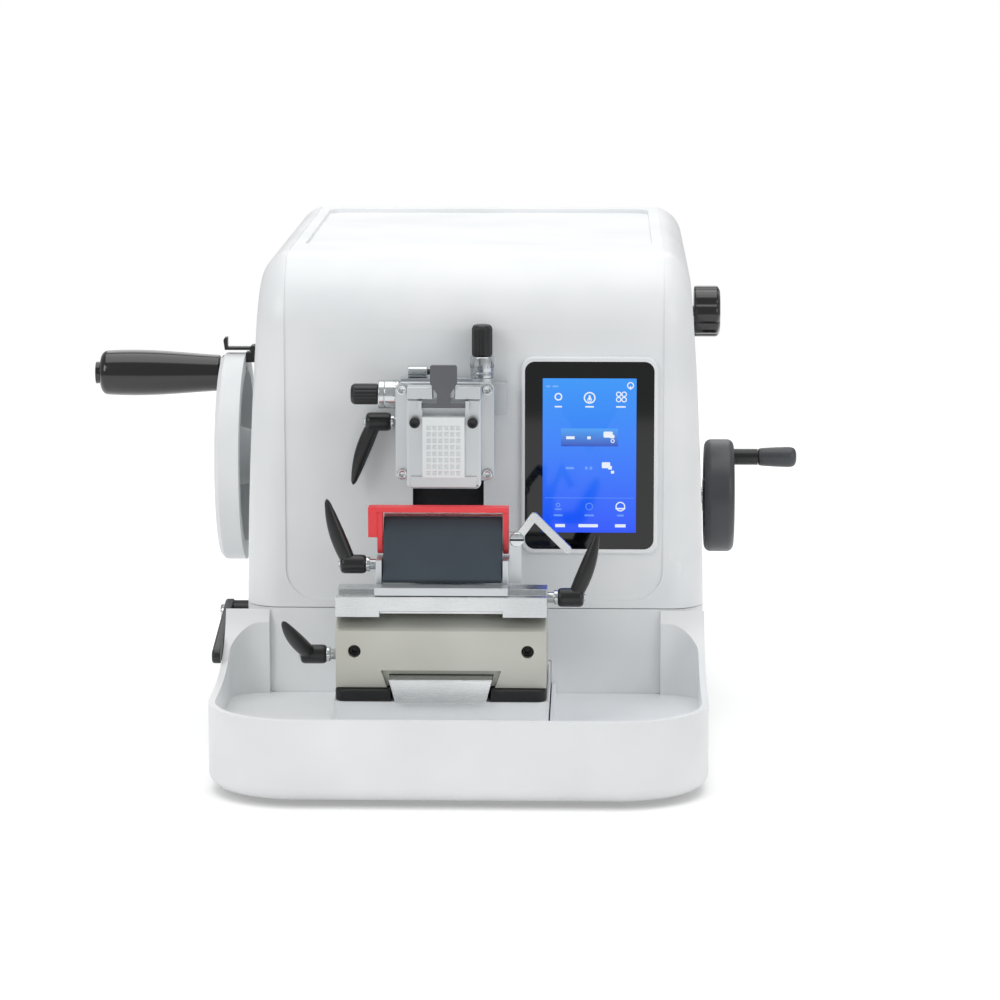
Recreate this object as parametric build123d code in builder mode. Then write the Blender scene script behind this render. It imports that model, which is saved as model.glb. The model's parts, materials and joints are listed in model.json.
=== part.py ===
from build123d import *
from math import cos, radians, sin
import os

os.makedirs("parts", exist_ok=True)

# Frame: +Z up, +X right seen from the front, +Y to the back, millimetres.
# The origin is on the bench, in the middle of the whole machine.

# Clearances
running_gap = 0.05        # shaft in its bore, on the radius
slide_gap = 0.4           # pieces that pass each other
seat_gap = 0.3            # pieces on different bodies that stand against each other

# Housing
housing_x = 26.0
front_y = -115.0
housing_depth = 420.0
seam_z = 97.0
seam_gap = 0.6
top_z = 343.0
seam_half_width = 160.0
middle_half_width = 156.5
side_arc_rise = 30.0      # each side's arc is carried on this far above the top
side_arc_end = 145.7
front_top_radius = 50.0
rear_top_radius = 34.0
edge_radius = 24.0
wall = 4.0
panel_half_width = 131.5
panel_bottom_z = 103.0
panel_depth = 1.2
panel_corner_radius = 22.0
recess_half_width = 124.0
recess_front = 95.0
recess_back = 375.0
recess_depth = 4.0
recess_radius = 14.0

# Lower housing and base
skirt_bottom_z = 6.0
skirt_corner_radius = 25.0
foot_height = 8.0
foot_radius = 15.0
rear_foot_spread = 130.0
rear_foot_back = 385.0
front_foot_spread = 55.0
front_foot_forward = 115.0
casting_thickness = 24.0
casting_edge = 8.0
pedestal_half_width = 71.5
pedestal_forward = 135.0
pedestal_top_z = 60.0

# Waste tray
tray_left = 173.5
tray_right = 160.5
tray_forward = 190.0
tray_corner_radius = 62.0
tray_wall = 4.5
tray_bottom_z = 4.0
tray_floor_z = 37.0
tray_floor = 3.0
tray_rim_z = 59.0
tray_rise_forward = 104.0
tray_return = 26.0
tray_inner_radius = 20.0
tray_edge_radius = 9.0
notch_gap = 1.0
notch_rim = 3.0
notch_rim_height = 7.0

# Section axis: the specimen head and the blade holder stand on it
head_x = 8.0
arm_z = 230.0
stroke = 70.0
feed_travel = 28.0
slot_half_width = 24.7
slot_margin = 4.0
slot_corner_radius = 4.0

# Screen
screen_x = 106.0
screen_z = 205.3
bezel_width = 95.0
bezel_height = 138.0
bezel_height_off_panel = 3.0
bezel_corner_radius = 9.0
glass_width = 89.5
glass_height = 131.5
glass_corner_radius = 7.0
glass_thickness = 2.0
display_width = 64.8
display_height = 108.0
display_thickness = 5.0

# Main handwheel
wheel_back = 150.0
wheel_z = 181.0
wheel_radius = 75.7
wheel_rim_width = 17.5
wheel_rim_height = 13.0
wheel_face_x = -188.5
wheel_web = 6.0
hub_radius = 19.0
crank_radius = 61.0
grip_length = 88.0
grip_outer_radius = 16.9
grip_inner_radius = 13.4
grip_bolt_radius = 5.0
grip_bolt_head_radius = 8.0
main_shaft_radius = 10.0
bearing_outer_radius = 19.0
bearing_width = 10.0
disc_radius = 45.0
disc_thickness = 11.6
roller_radius = 6.0
roller_length = 12.0

# Wheel lock and brake
lock_block_length = 16.0
lock_block_width = 12.0
lock_block_height = 7.0
lock_barrel_radius = 2.4
lock_arm_thickness = 2.0
lock_tip_height = 8.0
brake_back = 62.0
brake_z = 82.0
brake_length = 100.0
brake_thickness = 6.0
brake_hub_radius = 9.0
brake_tip_radius = 5.0
brake_drop = 12.0
brake_spindle_radius = 5.0

# Coarse feed wheel
coarse_back = 150.0
coarse_z = 153.0
coarse_radius = 41.0
coarse_rim_radius = 6.0
coarse_rim_x = 163.5
coarse_rim_width = 21.5
coarse_hub_radius = 12.0
coarse_crank_radius = 28.5
coarse_shaft_radius = 6.0
coarse_pin_radius = 5.9
coarse_pin_length = 17.5
coarse_grip_length = 28.0
coarse_grip_radius = 7.5

# Side knob
knob_back = 150.0
knob_z = 288.5
knob_radius = 19.0
knob_thickness = 19.0
knob_lobes = 8
knob_lobe_depth = 2.4
knob_spindle_radius = 4.0

# Inner frame and carriage
rail_half_spread = 46.0
rail_width = 6.0
rail_depth = 10.0
upright_thickness = 10.0
upright_front = 30.0
upright_back = 100.0
upright_top_z = 312.0
frame_plate_thickness = 8.0
outer_bearing_offset = 104.0
carriage_front = 30.0
carriage_back = 95.0
carriage_half_height = 45.0
cylinder_radius = 19.0
screw_radius = 5.0
motor_size = 34.8
motor_length = 34.0
motor_gap = 27.0
motor_plate = 6.0
yoke_offset = 18.0
yoke_thickness = 8.0
yoke_half_height = 20.0
shutter_back = 12.0
shutter_thickness = 2.0
shutter_half_width = 31.0
shutter_up = 84.0
shutter_down = 98.0

# Specimen head, measured from the housing front towards the operator
head_back = 4.0
head_plate = 12.0
head_half_width = 32.0
head_up = 31.0
head_down = 34.0
head_wing = 9.0
pitch_forward = 26.0
yaw_forward = 38.0
ear_radius = 7.0
ear_inner = 20.0
ear_thickness = 6.0
gimbal_pin_radius = 4.0
tilt_plate_forward = 50.0
tilt_plate_thickness = 6.0
tilt_plate_half = 33.5
clamp_half_width = 25.0
clamp_thickness = 17.0
clamp_up = 24.5
clamp_down = 36.5
jaw_height = 8.0
jaw_overhang = 2.0
upper_jaw_gap = 7.5
cassette_width = 28.5
cassette_height = 41.0
cassette_thickness = 12.0
cassette_proud = 6.0
cassette_low = 28.0
corner_screw_spread = 28.9
corner_screw_radius = 3.3
clamp_screw_spread = 19.5
clamp_screw_up = 9.0
clamp_screw_radius = 3.6
screw_head = 2.4
paddle_width = 18.2
paddle_neck = 8.8
paddle_thickness = 3.0
paddle_top = 48.0
paddle_pivot_up = 20.5
paddle_pin_radius = 1.6
knob_r = 7.2
yaw_collar_radius = 9.7
yaw_collar_length = 14.3
yaw_knob_length = 18.8
yaw_knob_up = 22.0
yaw_knob_forward = 30.0
pitch_collar_radius = 8.2
pitch_collar_length = 15.0
pitch_knob_length = 21.5
pitch_knob_x = 24.0
pitch_knob_forward = 10.5
adjuster_pin_radius = 2.5

# Clamping levers
lever_hub_radius = 6.4
lever_arm_reach = 41.0
lever_lean = 17.0
lever_arm_root = 4.4
lever_arm_waist = 5.6
lever_arm_tip = 3.4
lever_stud_radius = 3.6
lever_hub_length = 17.5
lever_stud_gap = 7.0
head_lever_forward = 10.0
blade_lever_forward = 95.0
blade_lever_z = 145.7
lateral_lever_forward = 95.0
lateral_lever_z = 123.5
holder_lever_forward = 115.0
holder_lever_z = 88.0
holder_lever_turn = 50.0

# Blade holder
holder_plate_half = 70.5
holder_plate_top_z = 68.0
holder_plate_front = 136.0
holder_plate_rear = 45.0
rail_bottom_half = 30.0
rail_top_half = 34.5
rail_top_z = 76.0
rail_front = 141.0
holder_half = 70.2
holder_front = 130.0
holder_rear = 50.0
holder_top_z = 117.0
bevel_drop = 10.4
bevel_back = 18.0
mouth_half_top = 40.0
mouth_half_bottom = 35.5
mouth_top_z = 80.0
mouth_depth = 6.0
holder_hole_spread = 57.7
holder_hole_z = 93.0
holder_hole_radius = 4.2
holder_hole_depth = 12.0
cross_half = 70.4
cross_front = 128.0
cross_rear = 62.0
cross_top_z = 126.0
cross_rebate_drop = 6.5
cross_rebate_gap = 3.0
lip_depth = 6.0
lip_bottom_z = 115.7
lip_middle_z = 119.7
lip_top_z = 129.5
lip_half = 41.0
ridge_front = 104.0
ridge_rear = 86.0
ridge_top_z = 130.5
ridge_undercut = 1.0
lateral_half = 44.5
lateral_front = 121.0
lateral_rear = 82.5
lateral_top_z = 132.3
bar_front = 126.5
bar_rear = 112.8
bar_top_z = 135.3
cheek_inner = 40.4
cheek_front = 108.0
cheek_rear = 85.0
cheek_top_z = 150.5
edge_forward = 80.0
edge_z = 178.5
blade_lean = 30.0
blade_length = 80.0
blade_height = 14.0
blade_thickness = 0.25
carrier_half = 40.0
carrier_bottom_z = 135.3
carrier_rear_back = 5.5
carrier_top_drop = 4.0
carrier_relief = 0.9
plate_thickness = 4.0
plate_top_drop = 2.5
plate_length = 49.0
guard_pivot_forward = 88.0
guard_pivot_z = 156.0
guard_pin_radius = 2.5
guard_arm_inner = 40.4
guard_arm_outer = 44.2
guard_left = 50.3
guard_bottom_z = 151.9
guard_flange_z = 163.5
guard_front = 93.0
guard_rear = 82.0
guard_top_z = 184.0
guard_bar_z = 180.5
bracket_outer = 53.0
bracket_bottom_z = 134.0
bracket_top_z = 168.0
bracket_front = 100.0
bracket_back = 90.0
arm_pivot_x = 50.0
arm_pivot_z = 164.5
arm_elbow_x = 61.5
arm_elbow_z = 180.0
arm_tip_x = 84.0
arm_tip_z = 157.5
arm_width = 5.3
arm_thickness = 4.0
arm_pin_radius = 2.0
arm_stand_off = 0.6

# Rear
cover_width = 250.0
cover_height = 190.0
cover_z = 212.0
cover_thickness = 3.0
cover_opening_margin = 12.0
inlet_x = -94.0
inlet_z = 52.0
inlet_width = 48.0
inlet_height = 60.0
inlet_depth = 26.0
inlet_flange = 2.5
rocker_width = 12.0
rocker_height = 20.0
rocker_depth = 9.0
rocker_up = 17.0
socket_width = 27.6
socket_height = 19.8
socket_down = 14.0
socket_depth = 16.0

rear_y = front_y + housing_depth
wheel_y = front_y + wheel_back
coarse_y = front_y + coarse_back
edge_y = front_y - edge_forward


def slab(x0, x1, y0, y1, z0, z1, mode=Mode.ADD):
    """A block between two corners, drawn on its lower face."""
    with BuildSketch(Plane.XY.offset(z0)) as outline:
        with Locations(((x0 + x1) / 2, (y0 + y1) / 2)):
            Rectangle(x1 - x0, y1 - y0)
    extrude(outline.sketch, amount=z1 - z0, mode=mode)


def rod_x(x0, x1, y, z, radius, mode=Mode.ADD):
    """A round bar or hole along X."""
    with BuildSketch(Plane.YZ.offset(x0)) as outline:
        with Locations((y, z)):
            Circle(radius)
    extrude(outline.sketch, amount=x1 - x0, mode=mode)


def rod_y(y0, y1, x, z, radius, mode=Mode.ADD):
    """A round bar or hole along Y."""
    with BuildSketch(Plane.XZ.offset(-y1)) as outline:
        with Locations((x, z)):
            Circle(radius)
    extrude(outline.sketch, amount=y1 - y0, mode=mode)


def rod_z(z0, z1, x, y, radius, mode=Mode.ADD):
    """A round bar or hole along Z."""
    with BuildSketch(Plane.XY.offset(z0)) as outline:
        with Locations((x, y)):
            Circle(radius)
    extrude(outline.sketch, amount=z1 - z0, mode=mode)


def profile_x(x0, x1, points, mode=Mode.ADD):
    """A prism along X with the given outline in Y and Z."""
    with BuildSketch(Plane.YZ.offset(x0)) as outline:
        with BuildLine():
            Polyline(*points, close=True)
        make_face()
    extrude(outline.sketch, amount=x1 - x0, mode=mode)


def profile_y(y0, y1, points, mode=Mode.ADD):
    """A prism along Y with the given outline in X and Z."""
    with BuildSketch(Plane.XZ.offset(-y1)) as outline:
        with BuildLine():
            Polyline(*points, close=True)
        make_face()
    extrude(outline.sketch, amount=y1 - y0, mode=mode)


def turned_x(points, y, z, mode=Mode.ADD):
    """A turned piece about an axis along X, from points of position and radius."""
    with BuildSketch(Plane.XZ.offset(-y)) as outline:
        with BuildLine():
            Polyline(*[(x, z + radius) for x, radius in points], close=True)
        make_face()
    revolve(outline.sketch, axis=Axis((0, y, z), (1, 0, 0)), mode=mode)


def turned_z(points, x, y, mode=Mode.ADD):
    """A turned piece about an upright axis, from points of radius and height."""
    with BuildSketch(Plane.XZ.offset(-y)) as outline:
        with BuildLine():
            Polyline(*[(x + radius, z) for radius, z in points], close=True)
        make_face()
    revolve(outline.sketch, axis=Axis((x, y, 0), (0, 0, 1)), mode=mode)


def save(part, name):
    """Labels a finished piece and writes its file."""
    part.label = name
    export_step(part, f"parts/{name}.step")


def housing_form(inset, bottom_z, radius):
    """The housing's rounded form, drawn in by inset on the front, sides, top and back."""
    top = top_z - inset
    front = front_y + inset
    back = rear_y - inset
    low = seam_half_width - inset
    mid = middle_half_width - inset
    high = side_arc_end - inset
    front_r = front_top_radius - inset
    rear_r = rear_top_radius - inset
    mid_z = (seam_z + top_z) / 2
    arc_z = top_z + side_arc_rise
    with BuildPart() as form:
        with BuildSketch(Plane.YZ.offset(housing_x)):
            with BuildLine():
                Line((front, bottom_z), (front, top - front_r))
                RadiusArc((front, top - front_r), (front + front_r, top), front_r)
                Line((front + front_r, top), (back - rear_r, top))
                RadiusArc((back - rear_r, top), (back, top - rear_r), rear_r)
                Line((back, top - rear_r), (back, bottom_z))
                Line((back, bottom_z), (front, bottom_z))
            make_face()
        extrude(amount=2 * seam_half_width, both=True)
        with BuildSketch(Plane.XZ.offset(-back)):
            with BuildLine():
                Line((housing_x - low, bottom_z), (housing_x + low, bottom_z))
                ThreePointArc(
                    (housing_x + low, bottom_z), (housing_x + mid, mid_z), (housing_x + high, arc_z)
                )
                Line((housing_x + high, arc_z), (housing_x - high, arc_z))
                ThreePointArc(
                    (housing_x - high, arc_z), (housing_x - mid, mid_z), (housing_x - low, bottom_z)
                )
            make_face()
        extrude(amount=back - front, mode=Mode.INTERSECT)
        by_x = form.faces().sort_by(Axis.X)
        outline = by_x[0].edges() + by_x[-1].edges()
        fillet(outline.filter_by(lambda edge: edge.center().Z > bottom_z + 1), radius)
    return form.part


# Housing cover: a moulded shell with a shallow panel field, a storage recess,
# the slot for the specimen arm, the screen opening and the rear opening
panel_front = front_y - 10
with BuildPart() as panel_field:
    with BuildSketch(Plane.YZ.offset(housing_x)):
        with BuildLine():
            Line((panel_front, panel_bottom_z), (front_y + panel_depth, panel_bottom_z))
            Line(
                (front_y + panel_depth, panel_bottom_z),
                (front_y + panel_depth, top_z - front_top_radius),
            )
            RadiusArc(
                (front_y + panel_depth, top_z - front_top_radius),
                (front_y + front_top_radius, top_z - panel_depth),
                front_top_radius - panel_depth,
            )
            Line(
                (front_y + front_top_radius, top_z - panel_depth),
                (rear_y + 10, top_z - panel_depth),
            )
            Line((rear_y + 10, top_z - panel_depth), (rear_y + 10, top_z + 10))
            Line((rear_y + 10, top_z + 10), (panel_front, top_z + 10))
            Line((panel_front, top_z + 10), (panel_front, panel_bottom_z))
        make_face()
    extrude(amount=panel_half_width, both=True)
    fillet(
        panel_field.edges().filter_by(Axis.Y).group_by(Axis.Z)[0],
        panel_corner_radius,
    )

with BuildPart() as housing_cover:
    add(housing_form(0, seam_z + seam_gap, edge_radius))
    add(housing_form(wall, seam_z + seam_gap, edge_radius - wall), mode=Mode.SUBTRACT)
    add(panel_field.part, mode=Mode.SUBTRACT)
    # storage recess: a pan let into the top
    with BuildSketch(Plane.XY.offset(top_z - recess_depth - wall)):
        with Locations((housing_x, front_y + (recess_front + recess_back) / 2)):
            RectangleRounded(
                2 * (recess_half_width + wall),
                recess_back - recess_front + 2 * wall,
                recess_radius + wall,
            )
    extrude(amount=recess_depth + wall / 2)
    with BuildSketch(Plane.XY.offset(top_z - recess_depth)):
        with Locations((housing_x, front_y + (recess_front + recess_back) / 2)):
            RectangleRounded(
                2 * recess_half_width, recess_back - recess_front, recess_radius
            )
    extrude(amount=2 * recess_depth, mode=Mode.SUBTRACT)
    # slot for the specimen arm
    slot_top = arm_z + cylinder_radius + slot_margin
    slot_bottom = arm_z - stroke - cylinder_radius - slot_margin
    with BuildSketch(Plane.XZ.offset(-front_y - 2 * wall)):
        with Locations((head_x, (slot_top + slot_bottom) / 2)):
            RectangleRounded(2 * slot_half_width, slot_top - slot_bottom, slot_corner_radius)
        with Locations((screen_x, screen_z)):
            RectangleRounded(display_width + 4, display_height + 4, 3)
    extrude(amount=3 * wall, mode=Mode.SUBTRACT)
    # rear opening
    with BuildSketch(Plane.XZ.offset(-rear_y - wall)):
        with Locations((housing_x, cover_z)):
            Rectangle(
                cover_width - 2 * cover_opening_margin, cover_height - 2 * cover_opening_margin
            )
    extrude(amount=3 * wall, mode=Mode.SUBTRACT)
    # shaft holes in the sides
    rod_x(housing_x - 2 * wall - seam_half_width, housing_x, wheel_y, wheel_z,
          bearing_outer_radius - 2, mode=Mode.SUBTRACT)
    rod_x(housing_x, housing_x + seam_half_width + wall, coarse_y, coarse_z,
          coarse_hub_radius, mode=Mode.SUBTRACT)
    rod_x(housing_x, housing_x + seam_half_width + wall, front_y + knob_back, knob_z,
          knob_spindle_radius + running_gap, mode=Mode.SUBTRACT)
save(housing_cover.part, "housing_cover")

# Rear cover: a screwed-on plate with cooling slots
with BuildPart() as rear_cover:
    with BuildSketch(Plane.XZ.offset(-rear_y - cover_thickness)):
        with Locations((housing_x, cover_z)):
            RectangleRounded(cover_width, cover_height, 8)
            with GridLocations(14, 60, 9, 2):
                SlotOverall(40, 4, rotation=90, mode=Mode.SUBTRACT)
    extrude(amount=cover_thickness)
    with BuildSketch(Plane.XZ.offset(-rear_y - cover_thickness - screw_head)):
        with Locations((housing_x, cover_z)):
            with GridLocations(cover_width - cover_opening_margin, cover_height - cover_opening_margin, 2, 2):
                Circle(corner_screw_radius)
    extrude(amount=screw_head)
save(rear_cover.part, "rear_cover")

# Lower housing: the skirt round the base casting
pedestal_left = head_x - pedestal_half_width
pedestal_right = head_x + pedestal_half_width
with BuildPart() as lower_housing:
    skirt_height = seam_z - skirt_bottom_z
    with BuildSketch(Plane.XY.offset(skirt_bottom_z)):
        with Locations((housing_x, front_y + housing_depth / 2)):
            RectangleRounded(2 * seam_half_width, housing_depth, skirt_corner_radius)
            RectangleRounded(
                2 * (seam_half_width - wall), housing_depth - 2 * wall, skirt_corner_radius - wall,
                mode=Mode.SUBTRACT,
            )
    extrude(amount=skirt_height)
    slab(
        pedestal_left - slide_gap, pedestal_right + slide_gap, front_y - wall, front_y + 2 * wall,
        skirt_bottom_z - 1, pedestal_top_z + slide_gap, mode=Mode.SUBTRACT,
    )
    rod_x(housing_x - seam_half_width - wall, housing_x, front_y + brake_back, brake_z,
          brake_spindle_radius + running_gap, mode=Mode.SUBTRACT)
    slab(
        inlet_x - inlet_width / 2 + 2, inlet_x + inlet_width / 2 - 2, rear_y - 2 * wall,
        rear_y + wall, inlet_z - inlet_height / 2 + 2, inlet_z + inlet_height / 2 - 2,
        mode=Mode.SUBTRACT,
    )
save(lower_housing.part, "lower_housing")

# Base casting: a ribbed plate with the pedestal that carries the blade holder
with BuildPart() as base_casting:
    casting_half = seam_half_width - wall - casting_edge
    slab(
        housing_x - casting_half, housing_x + casting_half, front_y + wall + casting_edge,
        rear_y - wall - inlet_depth - casting_edge, foot_height, foot_height + casting_thickness,
    )
    slab(
        pedestal_left, pedestal_right, front_y - pedestal_forward,
        front_y + 2 * wall + 2 * casting_edge, foot_height, pedestal_top_z,
    )
    fillet(
        base_casting.edges().filter_by(Axis.Z).group_by(Axis.Y)[0], slot_corner_radius
    )
save(base_casting.part, "base_casting")

# Rubber feet
with BuildPart() as feet:
    for x, y in (
        (head_x - front_foot_spread, front_y - front_foot_forward),
        (head_x + front_foot_spread, front_y - front_foot_forward),
        (housing_x - rear_foot_spread, front_y + rear_foot_back - 2 * foot_radius),
        (housing_x + rear_foot_spread, front_y + rear_foot_back - 2 * foot_radius),
    ):
        rod_z(0, foot_height, x, y, foot_radius)
    chamfer(feet.edges().filter_by(GeomType.CIRCLE).group_by(Axis.Z)[0], 1.5)
save(feet.part, "feet")


def tray_outline(inset):
    """The tray's plan outline, square at the back, drawn in by inset."""
    left = housing_x - tray_left + inset
    right = housing_x + tray_right - inset
    front = front_y - tray_forward + inset
    back = front_y - seat_gap - inset
    radius = tray_corner_radius - inset
    Polyline((left, back), (right, back), (right, front + radius))
    RadiusArc((right, front + radius), (right - radius, front), radius)
    Line((right - radius, front), (left + radius, front))
    RadiusArc((left + radius, front), (left, front + radius), radius)
    Line((left, front + radius), (left, back))


# Waste tray: a moulded basin whose sides sweep up to the housing
with BuildPart() as waste_tray:
    with BuildSketch(Plane.XY.offset(tray_bottom_z)):
        with BuildLine():
            tray_outline(0)
        make_face()
    extrude(amount=seam_z - tray_bottom_z)
    fillet(waste_tray.edges().group_by(Axis.Z)[0].sort_by(Axis.Y)[:-1], tray_edge_radius)
    # the rim stays low at the front and rises in an S towards the seam
    rim_back = front_y - tray_rise_forward
    with BuildSketch(Plane.YZ.offset(housing_x)):
        with BuildLine():
            Line((front_y - tray_forward - 5, tray_rim_z), (rim_back, tray_rim_z))
            Spline(
                (rim_back, tray_rim_z), (front_y, seam_z),
                tangents=((1, 0), (0.35, 1)), tangent_scalars=(1.1, 1.0),
            )
            Polyline(
                (front_y, seam_z), (front_y + 5, seam_z), (front_y + 5, seam_z + 20),
                (front_y - tray_forward - 5, seam_z + 20), (front_y - tray_forward - 5, tray_rim_z),
            )
        make_face()
    extrude(amount=2 * tray_left, both=True, mode=Mode.SUBTRACT)
    # basin, open at the back between two short returns
    with BuildSketch(Plane.XY.offset(tray_floor_z)) as basin:
        with BuildLine():
            tray_outline(tray_wall)
        make_face()
        fillet(basin.vertices().group_by(Axis.Y)[-1], tray_inner_radius)
    extrude(amount=seam_z, mode=Mode.SUBTRACT)
    slab(
        housing_x - tray_left + tray_wall + tray_return,
        housing_x + tray_right - tray_wall - tray_return,
        front_y - 3 * tray_wall, front_y + 1, tray_floor_z, seam_z + 1, mode=Mode.SUBTRACT,
    )
    # hollow underside
    with BuildSketch(Plane.XY.offset(tray_bottom_z - 1)):
        with BuildLine():
            tray_outline(tray_wall)
        make_face()
    extrude(amount=tray_floor_z - tray_floor - tray_bottom_z + 1, mode=Mode.SUBTRACT)
    # notch that lets the tray slide off round the pedestal, with a raised edge
    slab(
        pedestal_left - notch_gap - notch_rim, pedestal_right + notch_gap + notch_rim,
        front_y - pedestal_forward - notch_gap - notch_rim, front_y - seat_gap,
        tray_bottom_z, tray_floor_z + notch_rim_height,
    )
    slab(
        pedestal_left - notch_gap, pedestal_right + notch_gap,
        front_y - pedestal_forward - notch_gap, front_y + 1,
        tray_bottom_z - 1, seam_z, mode=Mode.SUBTRACT,
    )
save(waste_tray.part, "waste_tray")

# Screen bezel: a raised border round the touch panel
panel_y = front_y + panel_depth
with BuildPart() as screen_bezel:
    with BuildSketch(Plane.XZ.offset(-panel_y)):
        with Locations((screen_x, screen_z)):
            RectangleRounded(bezel_width, bezel_height, bezel_corner_radius)
            RectangleRounded(glass_width, glass_height, glass_corner_radius, mode=Mode.SUBTRACT)
    extrude(amount=bezel_height_off_panel)
    fillet(
        screen_bezel.faces().sort_by(Axis.Y)[0].outer_wire().edges(), bezel_height_off_panel / 2
    )
save(screen_bezel.part, "screen_bezel")

# Touch glass, flush inside the bezel
with BuildPart() as screen_glass:
    with BuildSketch(Plane.XZ.offset(-panel_y)):
        with Locations((screen_x, screen_z)):
            RectangleRounded(
                glass_width - 2 * running_gap, glass_height - 2 * running_gap, glass_corner_radius
            )
    extrude(amount=glass_thickness)
save(screen_glass.part, "screen_glass")

# Display behind the glass, in the housing's window
with BuildPart() as display_module:
    slab(
        screen_x - display_width / 2, screen_x + display_width / 2,
        panel_y, panel_y + display_thickness,
        screen_z - display_height / 2, screen_z + display_height / 2,
    )
save(display_module.part, "display_module")

# Main handwheel: rim, web and hub, turned about X
face_x = housing_x + wheel_face_x
crank_z = wheel_z + crank_radius
hub_end_x = face_x + wheel_rim_width + 4
with BuildPart() as handwheel:
    turned_x(
        (
            (face_x, wheel_radius - 3), (face_x + 3, wheel_radius),
            (face_x + wheel_rim_width, wheel_radius),
            (face_x + wheel_rim_width, wheel_radius - wheel_rim_height),
            (face_x + wheel_web + 2, wheel_radius - wheel_rim_height - 2),
            (face_x + wheel_web + 2, hub_radius + 4),
            (hub_end_x, hub_radius), (hub_end_x, main_shaft_radius),
            (face_x + 2, main_shaft_radius), (face_x + 2, wheel_radius - 7),
            (face_x, wheel_radius - 5),
        ),
        wheel_y, wheel_z,
    )
    rod_x(face_x - 1, face_x + wheel_web, wheel_y, crank_z, grip_bolt_head_radius + 4)
    rod_x(face_x - 2, hub_end_x, wheel_y, crank_z, grip_bolt_radius, mode=Mode.SUBTRACT)
save(handwheel.part, "handwheel")

# Crank grip and the shoulder bolt that it turns on
grip_x = face_x - 1 - seat_gap
with BuildPart() as crank_grip:
    turned_x(
        (
            (grip_x, grip_bolt_radius + running_gap), (grip_x, grip_inner_radius),
            (grip_x - 0.55 * grip_length, grip_inner_radius + 1.2),
            (grip_x - grip_length + 5, grip_outer_radius),
            (grip_x - grip_length, grip_outer_radius - 5),
            (grip_x - grip_length, grip_bolt_radius + running_gap),
        ),
        wheel_y, crank_z,
    )
    fillet(
        crank_grip.edges().filter_by(GeomType.CIRCLE).group_by(Axis.X)[1], 4.5
    )
save(crank_grip.part, "crank_grip")

with BuildPart() as crank_grip_bolt:
    rod_x(grip_x - grip_length, hub_end_x - 6, wheel_y, crank_z, grip_bolt_radius)
    rod_x(grip_x - grip_length - seat_gap - 3, grip_x - grip_length - seat_gap,
          wheel_y, crank_z, grip_bolt_head_radius)
    rod_x(grip_x - grip_length - seat_gap, grip_x - grip_length, wheel_y, crank_z, grip_bolt_radius)
save(crank_grip_bolt.part, "crank_grip_bolt")

# Main shaft, crank disc with its pin and roller
yoke_right = head_x - yoke_offset
yoke_left = yoke_right - yoke_thickness
disc_right = yoke_left - slide_gap - roller_length
disc_left = disc_right - disc_thickness
inner_bearing_x = disc_left - slide_gap - bearing_width - 4
outer_bearing_x = head_x - outer_bearing_offset - bearing_width
with BuildPart() as main_shaft:
    rod_x(face_x - 2, disc_right - 2, wheel_y, wheel_z, main_shaft_radius)
    chamfer(main_shaft.edges().filter_by(GeomType.CIRCLE), 1)
save(main_shaft.part, "main_shaft")

with BuildPart() as crank_disc:
    turned_x(
        (
            (disc_left, main_shaft_radius), (disc_left, disc_radius - 1),
            (disc_left + 1, disc_radius), (disc_right, disc_radius),
            (disc_right, main_shaft_radius),
        ),
        wheel_y, wheel_z,
    )
    rod_x(disc_right, disc_right + 1, wheel_y, wheel_z + stroke / 2, roller_radius - 1)
    rod_x(disc_right + 1, disc_right + roller_length, wheel_y, wheel_z + stroke / 2, roller_radius)
save(crank_disc.part, "crank_disc")

# Bearings: two on the main shaft, one flanged bush for the coarse wheel's shaft
with BuildPart() as shaft_bearings:
    for x in (outer_bearing_x, inner_bearing_x):
        rod_x(x, x + bearing_width, wheel_y, wheel_z, bearing_outer_radius)
        rod_x(x, x + bearing_width, wheel_y, wheel_z, main_shaft_radius + running_gap, mode=Mode.SUBTRACT)
    bush_x = housing_x + seam_half_width - wall - 6
    rod_x(bush_x, bush_x + 8, coarse_y, coarse_z, coarse_hub_radius - running_gap)
    rod_x(bush_x - 2, bush_x + 1, coarse_y, coarse_z, coarse_hub_radius + 4)
    rod_x(bush_x - 2, bush_x + 8, coarse_y, coarse_z,
          coarse_shaft_radius + running_gap, mode=Mode.SUBTRACT)
save(shaft_bearings.part, "shaft_bearings")

# Inner frame: foot plate, two uprights with a bridge, and the outer bearing post
plate_z = foot_height + casting_thickness
frame_z = plate_z + frame_plate_thickness
upright_inner = rail_half_spread + rail_width
frame_front = front_y + upright_front
frame_back = front_y + upright_back
with BuildPart() as machine_frame:
    slab(outer_bearing_x - 2, head_x + upright_inner + upright_thickness, frame_front,
         wheel_y + bearing_outer_radius + 10, plate_z, frame_z)
    slab(head_x - upright_inner - upright_thickness, head_x - upright_inner, frame_front,
         frame_back, frame_z, upright_top_z)
    slab(head_x + upright_inner, head_x + upright_inner + upright_thickness, frame_front,
         frame_back, frame_z, upright_top_z)
    slab(head_x - upright_inner, head_x + upright_inner, frame_front, frame_back,
         upright_top_z - upright_thickness, upright_top_z)
    for x in (outer_bearing_x - 2, inner_bearing_x - 2):
        slab(x, x + bearing_width, wheel_y - bearing_outer_radius - 8,
             wheel_y + bearing_outer_radius + 8, frame_z, wheel_z + bearing_outer_radius + 8)
    slab(inner_bearing_x - 2, head_x - upright_inner, frame_back,
         wheel_y - bearing_outer_radius - 8, frame_z, wheel_z)
    for x in (outer_bearing_x, inner_bearing_x):
        rod_x(x, x + 2 * bearing_width, wheel_y, wheel_z, bearing_outer_radius, mode=Mode.SUBTRACT)
        rod_x(x - 3, x + 1, wheel_y, wheel_z, main_shaft_radius + 3, mode=Mode.SUBTRACT)
save(machine_frame.part, "machine_frame")

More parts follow.
